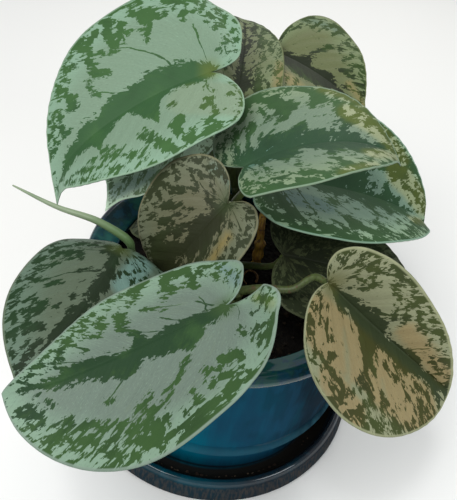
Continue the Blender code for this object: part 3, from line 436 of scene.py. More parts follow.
            (2, -23, 5, -27, 1.1), (12, 10, 16, 13, 0.8), (-8, 3, -5, 6, 0.8), (20, 18, 28, 16, 1.4)),
        silver=((20, -4, 24, -5, 0.7), (26, -8, 30, -9, 0.7), (30, 2, 34, 0, 0.8), (22, 6, 25, 5, 0.7)),
        warm=((8, 11, 20, 13, 4),),
        cool=((-8, 0, -6, -14, 4),),
        veins=((0, 4, 3, 14), (2, -4, 2, -14))),
    "leaf_back_right": Look(
        "bronze", (-1.8, 0.7, 9), 71.0,
        band=(
            (-1, -2, 1), (0, -3, 2), (5, -7, 3), (10, -9, 3), (13, -10, 6), (17, -10.5, 6), (20, -11, 2),
            (24, -11.5, 2), (28, -11, 6), (31, -9, 5), (34, -6, 1), (38, -3, 0.5), (50, -1, 0.5),
            (55, -0.5, 0.5)),
        green=(
            (0, 23, 2, 30, 1.0), (3, 25, 5, 32, 1.1), (7, 24, 8, 31, 1.2), (10, 22, 12, 28, 1.0),
            (13, 26, 15, 33, 1.2), (17, 24, 18, 30, 1.2), (19, 14, 21, 20, 1.2), (21, 18, 24, 23, 1.0),
            (16, 9, 18, 12, 1.1), (15, 6, 17, 9, 0.9), (25, 20, 28, 26, 1.1), (27, 28, 30, 31, 1.0),
            (30, 16, 32, 20, 1.1), (31, 22, 34, 25, 1.0), (33, 10, 36, 13, 1.0), (35, 16, 38, 19, 1.1),
            (38, 10, 41, 12, 1.0), (42, 8, 46, 11, 1.1), (39, 4, 41, 6, 0.8), (44, 4, 48, 7, 1.0),
            (20, 30, 24, 33, 1.0), (-2, 16, 0, 22, 1.0), (14, -16, 18, -22, 0.9), (20, -14, 22, -20, 0.9),
            (30, -14, 36, -12, 1.4), (24, -24, 32, -22, 1.6), (40, -9, 46, -7, 1.2)),
        warm=((16, -17, 26, -20, 6), (40, 6, 54, 3, 4)),
        cool=((0, 28, 18, 30, 4),)),
    "leaf_back": Look(
        "bronze", (-0.7, 0.4, 6), 83.0,
        band=((-2, -2, 1.5), (5, -4, 2), (10, -6, 2), (15, -3, 2), (30, -1.5, 1.5), (62, -1, 1)),
        green=(
            (8, -8, 14, -9, 2.4), (10, -14, 15, -12, 1.6), (34, -3, 42, -3, 1.2), (38, -8, 48, -8, 1.8),
            (36, -14, 46, -13, 1.6), (50, -4, 58, -5, 1.4), (52, -10, 60, -10, 1.5), (60, -6, 67, -6, 1.3),
            (48, -17, 56, -15, 1.4), (24, -18, 32, -18, 1.2), (28, -9, 30, -11, 0.8), (62, -12, 66, -9, 1.0),
            (30, 8, 40, 9, 1.8), (46, 12, 56, 9, 1.8), (14, 12, 22, 13, 1.6), (60, 4, 66, 4, 1.2)),
        warm=((14, -18, 30, -20, 5),),
        veins=((16, -2, 30, -12), (28, -2, 46, -12))),
    "leaf_under_right": Look(
        "deep", (0.3, 0.3, 8), 97.0,
        band=((0, -2, 2), (35, -4, 4), (68, -1, 1)),
        warm=((56, 8, 70, 6, 6),)),
    # This leaf's shade tone is painted light, far paler than the leaf, to lift it out of the shadow above it
    "leaf_under_left": Look(
        "shade", (-1.2, 0.0, 6), 101.0,
        band=((0, -1, 1), (30, -1.2, 1.2), (48, -0.5, 0.5)),
        green=(
            (20, 4, 26, 8, 1.6), (26, 14, 32, 12, 1.6), (30, 6, 36, 8, 1.2), (28, -8, 34, -6, 1.4),
            (14, -14, 22, -12, 1.6), (10, 10, 16, 14, 1.8), (36, 2, 42, 3, 0.9), (6, -8, 12, -10, 1.4)),
        cool=((30, 10, 44, 0, 6),)),
    "leaf_under_centre": Look(
        "deep", (-0.3, 0.3, 6), 109.0,
        band=((0, -1, 1), (15, -2, 2), (30, -1, 1))),
}


def colour(red, green, blue):
    """Linear colour from screen values of 0 to 255."""
    values = np.array((red, green, blue)) / 255.0
    linear = np.where(values <= 0.04045, values / 12.92, ((values + 0.055) / 1.055) ** 2.4)
    return (*(float(value) for value in linear), 1.0)


# Silver near the margin and inside, green outside and at the midrib, the warm versions, the silver under
# painted bluish sky reflection, and the colour beside the stalk, as screen values
Tone = namedtuple("Tone", "silver inner green midrib warm_silver warm_green cool_silver joint")
SHADES = {
    "mint": ((122, 151, 129), (111, 134, 113), (54, 88, 46), (46, 80, 46),
             (117, 136, 113), (62, 88, 44), (96, 128, 116), (98, 110, 42)),
    "grey": ((117, 142, 122), (98, 113, 102), (48, 76, 38), (30, 56, 32),
             (122, 136, 92), (74, 100, 34), (104, 128, 124), (62, 86, 44)),
    "mossy": ((115, 133, 104), (101, 120, 101), (48, 78, 42), (36, 64, 42),
              (136, 144, 110), (74, 88, 34), (84, 118, 108), (48, 80, 50)),
    "sunk": ((132, 158, 128), (108, 134, 116), (44, 76, 40), (38, 70, 42),
             (138, 148, 112), (68, 82, 30), (88, 118, 110), (34, 54, 30)),
    "teal": ((88, 108, 92), (78, 90, 73), (25, 50, 24), (20, 36, 16),
             (96, 98, 70), (50, 62, 24), (102, 132, 123), (74, 86, 34)),
    "olive": ((136, 140, 110), (124, 127, 98), (60, 70, 32), (48, 58, 34),
              (141, 127, 90), (60, 62, 26), (112, 122, 112), (92, 90, 42)),
    "dusk": ((92, 98, 76), (90, 90, 68), (40, 48, 24), (36, 40, 20),
             (116, 104, 60), (56, 52, 22), (84, 102, 88), (48, 64, 32)),
    "bronze": ((104, 118, 83), (91, 98, 65), (44, 64, 24), (24, 33, 14),
               (124, 116, 76), (70, 82, 32), (88, 108, 88), (60, 64, 34)),
    "deep": ((66, 74, 50), (54, 60, 38), (34, 42, 22), (24, 30, 16),
             (96, 90, 34), (70, 68, 22), (60, 70, 60), (34, 38, 20)),
    # shade: far paler than the leaf itself, as painted light that lifts it out of the shadow of the leaf
    # above
    "shade": ((198, 222, 198), (180, 202, 180), (120, 144, 108), (104, 130, 100),
              (130, 130, 94), (80, 88, 44), (160, 185, 175), (80, 90, 60)),
}
TONES = {name: Tone(*(colour(*shade) for shade in shades))
         for name, shades in SHADES.items()}


class PotSettings(bpy.types.PropertyGroup):
    """Sizes and glaze of the pot and its saucer."""
    rim_radius: FloatProperty(
        name="Rim radius", description="Outer radius of the pot's lip", default=0.0660, unit="LENGTH")
    body_radius: FloatProperty(
        name="Body radius", description="Radius of the body just above the bead", default=0.0615,
        unit="LENGTH")
    saucer_radius: FloatProperty(
        name="Saucer radius", description="Largest radius of the saucer", default=0.0714, unit="LENGTH")
    glaze: FloatVectorProperty(
        name="Glaze", description="Main glaze colour", subtype="COLOR", size=4, min=0, max=1,
        default=colour(4, 90, 112))
    turning_steps: IntProperty(
        name="Turning steps", description="Facets round each turned piece", default=160, min=24)


class PlantSettings(bpy.types.PropertyGroup):
    """Fineness and surface of the plant."""
    rows_along: IntProperty(
        name="Rows along", description="Mesh rows from the stalk to the tip", default=120, min=12)
    rows_across: IntProperty(
        name="Rows across", description="Mesh rows on each side of the midrib", default=30, min=4)
    blade_roughness: FloatProperty(
        name="Blade roughness", description="Roughness of the satin upper face", default=0.50,
        min=0, max=1, subtype="FACTOR")
    stalk_colour: FloatVectorProperty(
        name="Stalk colour", description="Colour of the living stalks", subtype="COLOR", size=4, min=0, max=1,
        default=colour(70, 84, 42))


class StageSettings(bpy.types.PropertyGroup):
    """Camera, lights and floor."""
    focal_length: FloatProperty(
        name="Focal length", description="Lens of the camera in millimetres", default=46.8, min=10,
        unit="CAMERA")
    key_power: FloatProperty(
        name="Key light", description="Power of the large soft light in watts", default=5.0, min=0,
        unit="POWER")
    sky_strength: FloatProperty(
        name="Sky strength", description="Strength of the even surrounding light", default=0.42, min=0)
    floor_colour: FloatVectorProperty(
        name="Floor colour", description="Colour of the pale floor", subtype="COLOR", size=4, min=0, max=1,
        default=(0.86, 0.86, 0.85, 1.0))


class Wire:
    """A shader socket that takes part in sums."""

    def __init__(self, surface, socket):
        self.surface = surface
        self.socket = socket

    def __add__(self, other):
        return self.surface.math("ADD", self, other)

    def __sub__(self, other):
        return self.surface.math("SUBTRACT", self, other)

    def __rsub__(self, other):
        return self.surface.math("SUBTRACT", other, self)

    def __mul__(self, other):
        return self.surface.math("MULTIPLY", self, other)

    def __truediv__(self, other):
        return self.surface.math("DIVIDE", self, other)

    def __rtruediv__(self, other):
        return self.surface.math("DIVIDE", other, self)

    __radd__ = __add__
    __rmul__ = __mul__


class Surface:
    """A material whose nodes are added one by one."""

    def __init__(self, name, roughness=0.5, specular=0.5, coat_roughness=0.03):
        self.material = bpy.data.materials.new(name)
        self.material.use_nodes = True
        self.tree = self.material.node_tree
        self.shader = self.tree.nodes["Principled BSDF"]
        self.shader.inputs["Roughness"].default_value = roughness
        self.shader.inputs["Specular IOR Level"].default_value = specular
        self.shader.inputs["Coat Roughness"].default_value = coat_roughness

    def node(self, kind, settings, values, output=0):
        """A node of this kind, with its settings first and then the values or links of its inputs."""
        node = self.tree.nodes.new(kind)
        for key, value in settings.items():
            setattr(node, key, value)
        for key, value in values.items():
            if isinstance(value, Wire):
                self.tree.links.new(value.socket, node.inputs[key])
            else:
                node.inputs[key].default_value = value
        return Wire(self, node.outputs[output])

    def math(self, operation, first, second=0.0):
        return self.node("ShaderNodeMath", {"operation": operation}, {0: first, 1: second})

    def step(self, value, low, high):
        """Smooth rise from 0 at low to 1 at high."""
        settings = {"interpolation_type": "SMOOTHSTEP"}
        return self.node("ShaderNodeMapRange", settings, {0: value, 1: low, 2: high, 3: 0.0, 4: 1.0})

    def between(self, value, rise, fall):
        """1 from the end of the rise to the start of the fall, and 0 outside them."""
        return self.step(value, *rise) * self.step(value, fall[1], fall[0])

    def mix(self, factor, first, second):
        return self.node("ShaderNodeMix", {"data_type": "RGBA"}, {0: factor, 6: first, 7: second}, 2)

    def vector(self, x, y, z=0.0):
        return self.node("ShaderNodeCombineXYZ", {}, {0: x, 1: y, 2: z})

    def parts(self, vector):
        first = self.node("ShaderNodeSeparateXYZ", {}, {0: vector})
        return [Wire(self, output) for output in first.socket.node.outputs]

    def place(self):
        return self.node("ShaderNodeTexCoord", {}, {}, "Object")

    def scaled(self, vector, x, y, z):
        return self.node("ShaderNodeVectorMath", {"operation": "MULTIPLY"}, {0: vector, 1: (x, y, z)})

    def noise(self, vector, scale, detail=2.0, roughness=0.5):
        values = {"Vector": vector, "Scale": scale, "Detail": detail, "Roughness": roughness}
        return self.node("ShaderNodeTexNoise", {}, values)

    def cells(self, vector, scale, output="Distance"):
        return self.node("ShaderNodeTexVoronoi", {}, {"Vector": vector, "Scale": scale}, output)

    def attribute(self, name):
        return self.node("ShaderNodeAttribute", {"attribute_name": name}, {}, "Fac")

    def bump(self, height, strength, distance):
        values = {"Height": height, "Strength": strength, "Distance": distance}
        self.feed("Normal", self.node("ShaderNodeBump", {}, values))

    def feed(self, name, value):
        self.tree.links.new(value.socket, self.shader.inputs[name])


def deselect():
    for thing in list(bpy.context.selected_objects):
        thing.select_set(False)


def made(name):
    """The object that the last operator added, under its name."""
    piece = bpy.context.object
    piece.name = name
    piece.data.name = name
    return piece


def apply_all(piece):
    deselect()
    piece.select_set(True)
    bpy.context.view_layer.objects.active = piece
    for modifier in list(piece.modifiers):
        bpy.ops.object.modifier_apply(modifier=modifier.name)


def weld(outward):
    """Merge doubled points of the active piece, and turn its faces outward where asked."""
    bpy.ops.object.mode_set(mode="EDIT")
    bpy.ops.mesh.select_all(action="SELECT")
    bpy.ops.mesh.remove_doubles(threshold=WELD_DISTANCE)
    if outward:
        bpy.ops.mesh.normals_make_consistent(inside=False)
    bpy.ops.object.mode_set(mode="OBJECT")


def dress(piece, *materials):
    piece.data.materials.clear()
    for material in materials:
        piece.data.materials.append(material)


def join_pieces(name, pieces):
    deselect()
    for piece in pieces:
        piece.select_set(True)
    bpy.context.view_layer.objects.active = pieces[0]
    if len(pieces) > 1:
        bpy.ops.object.join()
    return made(name)


def through_points(points, samples, weights=1.0):
    """A smooth curve through points, sampled at shares from 0 to 1.

    weights scale each coordinate when lengths are measured.
    """
    points = np.array(points, float)
    steps = np.linalg.norm(np.diff(points * weights, axis=0), axis=1)
    knots = np.concatenate(([0.0], np.cumsum(steps)))
    knots /= knots[-1]
    slopes = np.gradient(points, knots, axis=0)
    slopes[0] = (points[1] - points[0]) / (knots[1] - knots[0])
    slopes[-1] = (points[-1] - points[-2]) / (knots[-1] - knots[-2])
    wanted = np.atleast_1d(samples)
    left = np.clip(np.searchsorted(knots, wanted, side="right") - 1, 0, len(knots) - 2)
    span = (knots[left + 1] - knots[left])[:, None]
    u = (wanted - knots[left])[:, None] / span
    return (
        (2 * u**3 - 3 * u**2 + 1) * points[left]
        + (u**3 - 2 * u**2 + u) * span * slopes[left]
        + (-2 * u**3 + 3 * u**2) * points[left + 1]
        + (u**3 - u**2) * span * slopes[left + 1]
    )


def outline_at(station, lobe, belly):
    """Margin point at a station from 0 at the stalk to 1 at the tip, as shares of the leaf's size."""
    weights = np.array((1.0, OUTLINE_ASPECT))
    heart = through_points(HEART_OUTLINE, station, weights)
    oval = through_points(OVAL_OUTLINE, station, weights)
    edge = heart * (1 - belly) + oval * belly
    edge[:, 0] = np.where(edge[:, 0] < 0, edge[:, 0] * lobe, edge[:, 0])
    return edge[:, 0], edge[:, 1]


def vein_root(station):
    """Share of the midrib at which the side vein that ends at this station starts."""
    early = FAN_ROOT * np.clip(station / FAN_END, 0, 1)
    return early + (1 - FAN_ROOT) * np.clip((station - FAN_END) / (1 - FAN_END), 0, 1) ** 1.25


def droop(along, leaf):
    """Midrib point and slope angle at a distance along the midrib."""
    count = 60
    share = np.linspace(0, 1, count)
    late = np.clip((share - CURL_START) / (1 - CURL_START), 0, 1) ** 2
    slope = np.radians(leaf.bend) * share + np.radians(leaf.curl) * late
    step = leaf.length / (count - 1)
    forward = np.concatenate(([0], np.cumsum((np.cos(slope[1:]) + np.cos(slope[:-1])) / 2))) * step
    down = np.concatenate(([0], np.cumsum((np.sin(slope[1:]) + np.sin(slope[:-1])) / 2))) * step
    u = along / leaf.length
    past = np.maximum(u - 1, 0) * leaf.length
    x = np.where(u < 0, along, np.interp(u, share, forward) + past * np.cos(slope[-1]))
    z = np.where(u < 0, 0, -np.interp(u, share, down) - past * np.sin(slope[-1]))
    return x, z, np.where(u < 0, 0, np.interp(u, share, slope))


def leaf_axes(leaf):
    """World directions of the blade at its stalk: along the midrib, to its left, and off its face."""
    heading, pitch, roll = np.radians((leaf.heading, leaf.pitch, leaf.roll))
    forward = np.array((math.cos(heading) * math.cos(pitch), math.sin(heading) * math.cos(pitch),
                        -math.sin(pitch)))
    level = np.array((-math.sin(heading), math.cos(heading), 0.0))
    upright = np.cross(forward, level)
    left = level * math.cos(roll) + upright * math.sin(roll)
    return forward, left, np.cross(forward, left)


def margin_line(leaf, station, index):
    """Margin of one half of the flattened blade."""
    x, y = outline_at(station, leaf.lobe[index], leaf.belly[index])
    close = 1 - leaf.sinus[index] * np.clip(1 - station / 0.10, 0, 1)
    return x * leaf.length, y * leaf.half_width[index] * close


def blade_plan(leaf, station, across):
    """Where points lie on the flattened blade.

    Returns the side (0 left, 1 right), the distances along and out from the midrib, and the distance
    from the margin.
    """
    side = np.where(across >= 0, 0, 1)
    reach = np.abs(across)
    left, right = (margin_line(leaf, station, index) for index in (0, 1))
    edge_x, edge_y = np.where(side == 0, left, right)
    root = vein_root(station) * leaf.length
    middle_x = root * (1 - ROW_ALONG) + edge_x * ROW_ALONG
    along = (1 - reach) ** 2 * root + 2 * reach * (1 - reach) * middle_x + reach**2 * edge_x
    out = (2 * reach * (1 - reach) * ROW_OUT + reach**2) * edge_y
    along += leaf.drip * np.clip((along / leaf.length - 0.9) / 0.1, 0, 1) ** 2
    return side, along, out, np.hypot(edge_x - root, edge_y) * (1 - reach)


def vein_chart(along, out):
    """Side veins laid straight: the place of each point's vein, and its distance along that vein.

    Veins leave the midrib at a slant and bend towards the tip; behind the stalk they spread like a fan.
    """
    bent = along - VEIN_BEND * out**2 * np.clip((along + 0.010) / 0.030, 0, 1)
    start = bent - VEIN_LEAN * out
    turn = np.arctan2(out, bent) - math.atan2(1.0, VEIN_LEAN)
    fan = np.where(start >= 0, start, -FAN_SPREAD * np.maximum(turn, 0))
    return fan, np.where(start >= 0, out * math.hypot(1.0, VEIN_LEAN), np.hypot(bent, out))


def blade_points(leaf, station, across):
    """World points of the blade's middle sheet: station 0..1 round the margin, across -1..1."""
    side, along, out, _ = blade_plan(leaf, station, across)
    fan, _ = vein_chart(along, out)
    width = np.where(side == 0, *leaf.half_width)
    fold = np.tan(np.radians(np.where(side == 0, *leaf.fold)))
    share = out / width
    behind = np.clip(-along / (0.12 * leaf.length), 0, 1.5)
    ripple = leaf.ripple * np.sin(math.tau * (RIPPLES * station + 0.25 * side)) * share**2
    quilt = QUILT_DEPTH * np.sin(math.tau * fan / QUILT_SPACING) * np.clip(share * (1 - share) * 4, 0, 1)
    height = out * fold - leaf.cup * share**2 + leaf.lift * behind**2 + ripple + quilt
    out = out * np.where(side == 0, 1, -1)
    turn = np.radians(leaf.twist) * along / leaf.length
    out, height = (out * np.cos(turn) - height * np.sin(turn), out * np.sin(turn) + height * np.cos(turn))
    out = out + leaf.sweep * np.clip(along / leaf.length, 0, 1.2) ** 3
    x, z, slope = droop(along, leaf)
    local = np.stack((x + height * np.sin(slope), out, z + height * np.cos(slope)), axis=-1)
    return np.array(leaf.base) + local @ np.stack(leaf_axes(leaf))


def strokes(x, y, marks):
    """How deep, in millimetres, each point lies inside the nearest stroke; below 0 outside."""
    deepest = np.full(x.shape, -9.0)
    for start_x, start_y, end_x, end_y, half_width in marks:
        run_x, run_y = end_x - start_x, end_y - start_y
        length = math.hypot(run_x, run_y) + 0.001
        ahead = np.clip(((x - start_x) * run_x + (y - start_y) * run_y) / length**2, 0, 1)
        away = np.hypot(x - start_x - ahead * run_x, y - start_y - ahead * run_y)
        deepest = np.maximum(deepest, half_width - away)
    return deepest


def in_band(x, y, band):
    """How deep, in millimetres, each point lies inside the dark stretch along the midrib."""
    places, low, high = np.array(band, float).T
    lower = np.interp(x, places, low)
    upper = np.interp(x, places, high)
    inside = (upper - lower) / 2 - np.abs(y - (lower + upper) / 2)
    return np.minimum(inside, np.minimum(x - places[0], places[-1] - x) + 0.5)


def soft(values):
    """Smooth rise from 0 to 1."""
    share = np.clip(values, 0, 1)
    return share * share * (3 - 2 * share)


def toned(shade, factor):
    """A colour made lighter or darker."""
    return (*(min(1.0, factor * value) for value in shade[:3]), 1.0)


def green_depth(look, x, y, margin):
    """How deep, in millimetres, each point lies inside the green; below 0 in the silver."""
    inside, at_margin, reach = look.ground
    depth = inside + (at_margin - inside) * soft(1.15 - margin * MILLIMETRES / reach)
    depth = np.maximum(depth, strokes(x, y, look.green))
    if look.band:
        depth = np.maximum(depth, in_band(x, y, look.band))
    return np.minimum(depth, -strokes(x, y, look.silver))


def warmth_and_sky_sheen(look, x, y):
    """1 well inside a warm stroke, -1 well inside a stroke of painted sky reflection, and 0 outside both."""
    fade = 5
    return (np.clip(strokes(x, y, look.warm) / fade, 0, 1)
            - np.clip(strokes(x, y, look.cool) / fade, 0, 1))


def vein_threads(look, x, y, fan, vein):
    """Each thin dark line on the straightened veins: its slope, its start, and the stretch it covers."""
    threads = []
    for start_x, start_y, end_x, end_y in look.veins:
        first = np.argmin(np.hypot(x - start_x, y - start_y))
        last = np.argmin(np.hypot(x - end_x, y - end_y))
        slope = (fan[last] - fan[first]) / (vein[last] - vein[first])
        low, high = sorted((vein[first], vein[last]))
        threads.append([float(value) for value in (slope, fan[first] - slope * vein[first], low, high)])
    return threads


def leaf_finish(name, look, tone, roughness, threads):
    """Satin upper face: silver between the veins, green along the midrib and in torn patches."""
    surface = Surface(name, roughness=roughness, specular=0.2)
    fan, out, _ = surface.parts(surface.node("ShaderNodeUVMap", {"uv_map": "veins"}, {}))
    mark = surface.attribute("mark")
    margin = surface.attribute("margin")
    # The tint attribute: warm tints above 0, painted bluish sky reflection below 0
    tint = surface.attribute("tint")
    body = surface.attribute("body")

    def grid(fan_step, out_step, shift=0.0):
        """Place on the straightened veins, counted in steps across and along them."""
        return surface.vector(fan / fan_step, out / out_step, look.seed + shift)

    def cells(fan_step, out_step, shift):
        """A random value for each cell of that grid."""
        return surface.parts(surface.cells(grid(fan_step, out_step, shift), 1.0, output="Color"))[0]

    wander = surface.noise(grid(0.0030, 0.0060, 41.0), 1.0, 1.0) - 0.5
    large = cells(0.0030, 0.0032, 23.0)
    wide = cells(0.0015, 0.0016, 0.0)
    small = cells(0.0006, 0.0009, 7.0)
    ragged = surface.noise(grid(0.0030, 0.0044, 13.0), 1.0, 3.0, 0.6)
    torn = (large - 0.5) * 2.0 + (wide - 0.5) * 1.8 + (small - 0.5) * 0.9 + (ragged - 0.5) * 2.0
    green = surface.step(mark + torn, -0.10, 0.10)
    fade = 0.0005
    for slope, start, low, high in threads:
        off = surface.math("ABSOLUTE", fan - (out * slope + start) + wander * 0.0020)
        thread = surface.step(off + (wide - 0.5) * 0.0004, 0.00050, 0.00030)
        reach = surface.between(out, (low - fade, low + fade), (high - fade, high + fade))
        green = surface.math("MAXIMUM", green, thread * reach)
    cloud = surface.noise(surface.place(), 70.0, 2.0)
    streaks = surface.noise(grid(0.0004, 0.0080, 3.0), 1.0, 2.0)
    linen = surface.noise(grid(0.0007, 0.0009, 5.0), 1.0, 2.0, 0.7)
    edge = surface.step(margin + (cloud - 0.5) * 0.010, 0.020, 0.002)
    silver = surface.mix(edge, tone.inner, tone.silver)
    tint_and_sky_sheen = tint + (ragged - 0.5) * 0.5 + (cloud - 0.5) * 0.4
    silver = surface.mix(surface.step(tint_and_sky_sheen, 0.0, 0.9), silver, tone.warm_silver)
    # Painted sky reflection: bluish silver where the tint falls below 0
    silver = surface.mix(surface.step(tint_and_sky_sheen, 0.0, -0.9), silver, tone.cool_silver)
    worn = (streaks - 0.5) * 0.8 + (linen - 0.5) * 1.1
    silver = surface.mix(surface.step(worn, -0.02, -0.45) * 0.55, silver, toned(tone.inner, 0.60))
    silver = surface.mix(surface.step(worn, 0.02, 0.45) * 0.45, silver, toned(tone.silver, 1.25))
    leafy = surface.mix(surface.step(body + (ragged - 0.5) * 0.7, 0.12, 0.50), tone.midrib, tone.green)
    leafy = surface.mix(surface.step(tint_and_sky_sheen, 0.0, 0.9), leafy, tone.warm_green)
    leafy = surface.mix(surface.step(cloud + worn * 0.2, 0.50, 0.25) * 0.40, leafy, toned(tone.midrib, 0.6))
    leafy = surface.mix(surface.step(cloud + worn * 0.2, 0.55, 0.80) * 0.45, leafy, toned(tone.green, 1.35))
    skin = surface.mix(green, silver, leafy)
    joint = surface.step(surface.math("ABSOLUTE", out) + surface.math("MAXIMUM", fan, 0.0), 0.009, 0.001)
    skin = surface.mix(joint * 0.5, skin, tone.joint)
    skin = surface.mix(surface.step(margin, 0.0012, 0.0005) * 0.85, skin, toned(tone.inner, 1.45))
    surface.feed("Base Color", skin)
    surface.feed("Roughness", green * 0.08 + (streaks - 0.5) * 0.15 + roughness)
    ribs = surface.noise(grid(0.0022, 0.0200, 19.0), 1.0, 1.0)
    groove = surface.step(surface.math("ABSOLUTE", out), 0.0012, 0.0)
    surface.bump(ribs * 0.7 + streaks * 0.25 + linen * 0.15 - groove * 0.8, 0.40, 0.0006)
    return surface.material


def underside_finish(name, tone):
    """Paler, duller lower face with raised veins."""
    surface = Surface(name, roughness=0.6, specular=0.3)
    fan, out, _ = surface.parts(surface.node("ShaderNodeUVMap", {"uv_map": "veins"}, {}))
    ribs = surface.noise(surface.vector(fan / 0.0034, out / 0.020), 1.0, 1.0)
    cloud = surface.noise(surface.place(), 60.0, 2.0)
    pale = tuple(0.55 * a + 0.45 * b for a, b in zip(tone.silver, tone.green))
    dim = tuple(0.2 * a + 0.8 * b for a, b in zip(tone.silver, tone.green))
    surface.feed("Base Color", surface.mix(surface.step(ribs + cloud * 0.5, 0.5, 0.95), dim, pale))
    surface.bump(ribs, 0.5, 0.0006)
    return surface.material


def rim_finish(name, tone):
    """Pale thin edge of a blade."""
    surface = Surface(name, roughness=0.55, specular=0.3)
    cloud = surface.noise(surface.place(), 400.0, 2.0)
    surface.feed("Base Color", surface.mix(cloud, tone.inner, tone.silver))
    return surface.material


def make_blade(name, leaf, look, settings):
    """A grid laid on the blade's surface, with its markings kept at its points, then thickened."""
    tone = TONES[look.tone]
    deselect()
    bpy.ops.mesh.primitive_grid_add(
        x_subdivisions=settings.rows_along, y_subdivisions=2 * settings.rows_across, size=2.0)
    piece = made(name + "_blade")
    mesh = piece.data
    flat = np.empty(len(mesh.vertices) * 3)
    mesh.vertices.foreach_get("co", flat)
    flat = flat.reshape(-1, 3)
    station = (flat[:, 0] + 1) / 2
    across = np.round(flat[:, 1], 6)
    side, along, out, margin = blade_plan(leaf, station, across)
    fan, vein = vein_chart(along, out)
    mesh.vertices.foreach_set("co", blade_points(leaf, station, across).ravel())
    x = along * MILLIMETRES
    y = np.where(side == 0, out, -out) * MILLIMETRES
    vein = np.where(side == 0, vein, -vein)
    width = np.where(side == 0, *leaf.half_width) * MILLIMETRES
    for key, values in (("mark", green_depth(look, x, y, margin)), ("margin", margin),
                        ("tint", warmth_and_sky_sheen(look, x, y)), ("body", np.abs(y) / width)):
        layer = mesh.attributes.new(key, "FLOAT", "POINT")
        layer.data.foreach_set("value", values.astype(np.float32))
    corner_points = np.empty(len(mesh.loops), int)
    mesh.loops.foreach_get("vertex_index", corner_points)
    for layer in list(mesh.uv_layers):
        mesh.uv_layers.remove(layer)
    chart = mesh.uv_layers.new(name="veins")
    chart.data.foreach_set("uv", np.stack((fan, vein), axis=-1)[corner_points].ravel())
    group = piece.vertex_groups.new(name="thin_margin")
    for index, distance in enumerate(margin):
        inner = min(1.0, float(distance) / MARGIN_WIDTH)
        group.add([index], MARGIN_SHARE + (1 - MARGIN_SHARE) * inner, "REPLACE")
    weld(outward=False)
    wall = piece.modifiers.new("thickness", "SOLIDIFY")
    wall.thickness = BLADE_THICKNESS
    wall.offset = 0.0
    wall.vertex_group = "thin_margin"
    wall.material_offset = 1
    wall.material_offset_rim = 2
    dress(piece,
          leaf_finish(name + "_face", look, tone, settings.blade_roughness,
                      vein_threads(look, x, y, fan, vein)),
          underside_finish(name + "_underside", tone),
          rim_finish(name + "_rim", tone))
    apply_all(piece)
    bpy.ops.object.shade_smooth()
    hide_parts(name)
    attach(piece, "root")


def stalk_end(leaf):
    """The knee under a blade, the point where the stalk turns square to it, and its seat there."""
    forward, _, up = leaf_axes(leaf)
    dip = STALK_TIP_RADIUS * math.tan(math.radians(max(0.0, -min(leaf.fold))))
    seat = np.array(leaf.base) - up * (BLADE_THICKNESS / 2 + dip)
    return seat - up * KNEE - forward * 0.0010, seat - up * KNEE * 0.4, seat


def vine_axis(vine, height):
    """Point on a vine's woody axis at a height above the floor."""
    share = (height - SOIL_LEVEL) / (vine.top[2] - SOIL_LEVEL)
    foot = np.array((*vine.foot, SOIL_LEVEL))
    return foot + (np.array(vine.top) - foot) * share


def tube(name, points, radii):
    """A round stem through points, made from a curve and turned into a mesh."""
    deselect()
    bpy.ops.curve.primitive_bezier_curve_add(location=(0, 0, 0))
    piece = bpy.context.object
    curve = piece.data
    curve.splines.clear()
    spline = curve.splines.new("POLY")
    spline.points.add(len(points) - 1)
    for spot, point, radius in zip(spline.points, points, radii):
        spot.co = (*point, 1.0)
        spot.radius = radius
    curve.bevel_depth = 1.0
    curve.bevel_resolution = 5
    curve.use_fill_caps = True
    bpy.ops.object.convert(target="MESH")
    piece = made(name)
    weld(outward=True)
    return piece


def woody_stem(vine):
    """The woody part of a vine, swollen at its knots and rounded off at its end."""
    knot_rate, cap_height = 900.0, 0.003
    heights = np.linspace(SOIL_LEVEL - 0.002, vine.top[2], 40)
    points = [vine_axis(vine, height) for height in heights]
    swelling = 1.0 + 0.14 * np.cos((heights - SOIL_LEVEL) * knot_rate)
    radii = vine.radius * swelling * 0.92
    cap = np.clip((vine.top[2] - heights) / cap_height, 0.0, 1.0)
    return points, radii * np.sqrt(np.clip(cap, 0.15, 1.0))


def stalk(leaf):
    """A leaf's stalk, from its vine to its seat under the blade, a little swollen at the knee."""
    vine_name, start_height, via = leaf.route
    start = vine_axis(VINES[vine_name], start_height)
    knee, square, seat = stalk_end(leaf)
    curve = through_points([start, *via, knee, square], np.linspace(0, 1, 36))
    points = np.vstack((curve, seat))
    share = np.linspace(0, 1, len(points))
    knee_at, knee_spread = 0.93, 0.05
    radii = STALK_ROOT_RADIUS + (STALK_TIP_RADIUS - STALK_ROOT_RADIUS) * share
    radii = radii * (1 + 0.12 * np.exp(-(((share - knee_at) / knee_spread) ** 2)))
    return points, radii


def sheath():
    """The winged foot of the tallest stalk, clasped round the end of its vine."""
    share = np.linspace(0, 1, 24)
    return through_points(SHEATH_ROUTE, share), 0.0022 + 0.0020 * np.sin(math.pi * share) ** 0.7


def shoot():
    """A rolled shoot beside that stalk."""
    share = np.linspace(0, 1, 30)
    radii = 0.0003 + 0.0025 * np.clip((1 - share) / 0.25, 0, 1) ** 0.6 * (0.7 + 0.3 * share)
    return through_points(SHOOT_ROUTE, share), radii


def stem_finish(name, base, stripe, speck):
    """Living or dry stem: fine lengthwise stripes and scattered darker marks."""
    surface = Surface(name, roughness=0.5, specular=0.4)
    place = surface.place()
    stripes = surface.noise(surface.scaled(place, 1.0, 1.0, 0.16), 900.0, 2.0)
    marks = surface.noise(place, 320.0, 3.0, 0.65)
    skin = surface.mix(surface.step(stripes, 0.42, 0.62), base, stripe)
    skin = surface.mix(surface.step(marks, 0.58, 0.68), skin, speck)
    surface.feed("Base Color", skin)
    surface.bump(stripes + marks * 0.5, 0.5, 0.0004)
    return surface.material


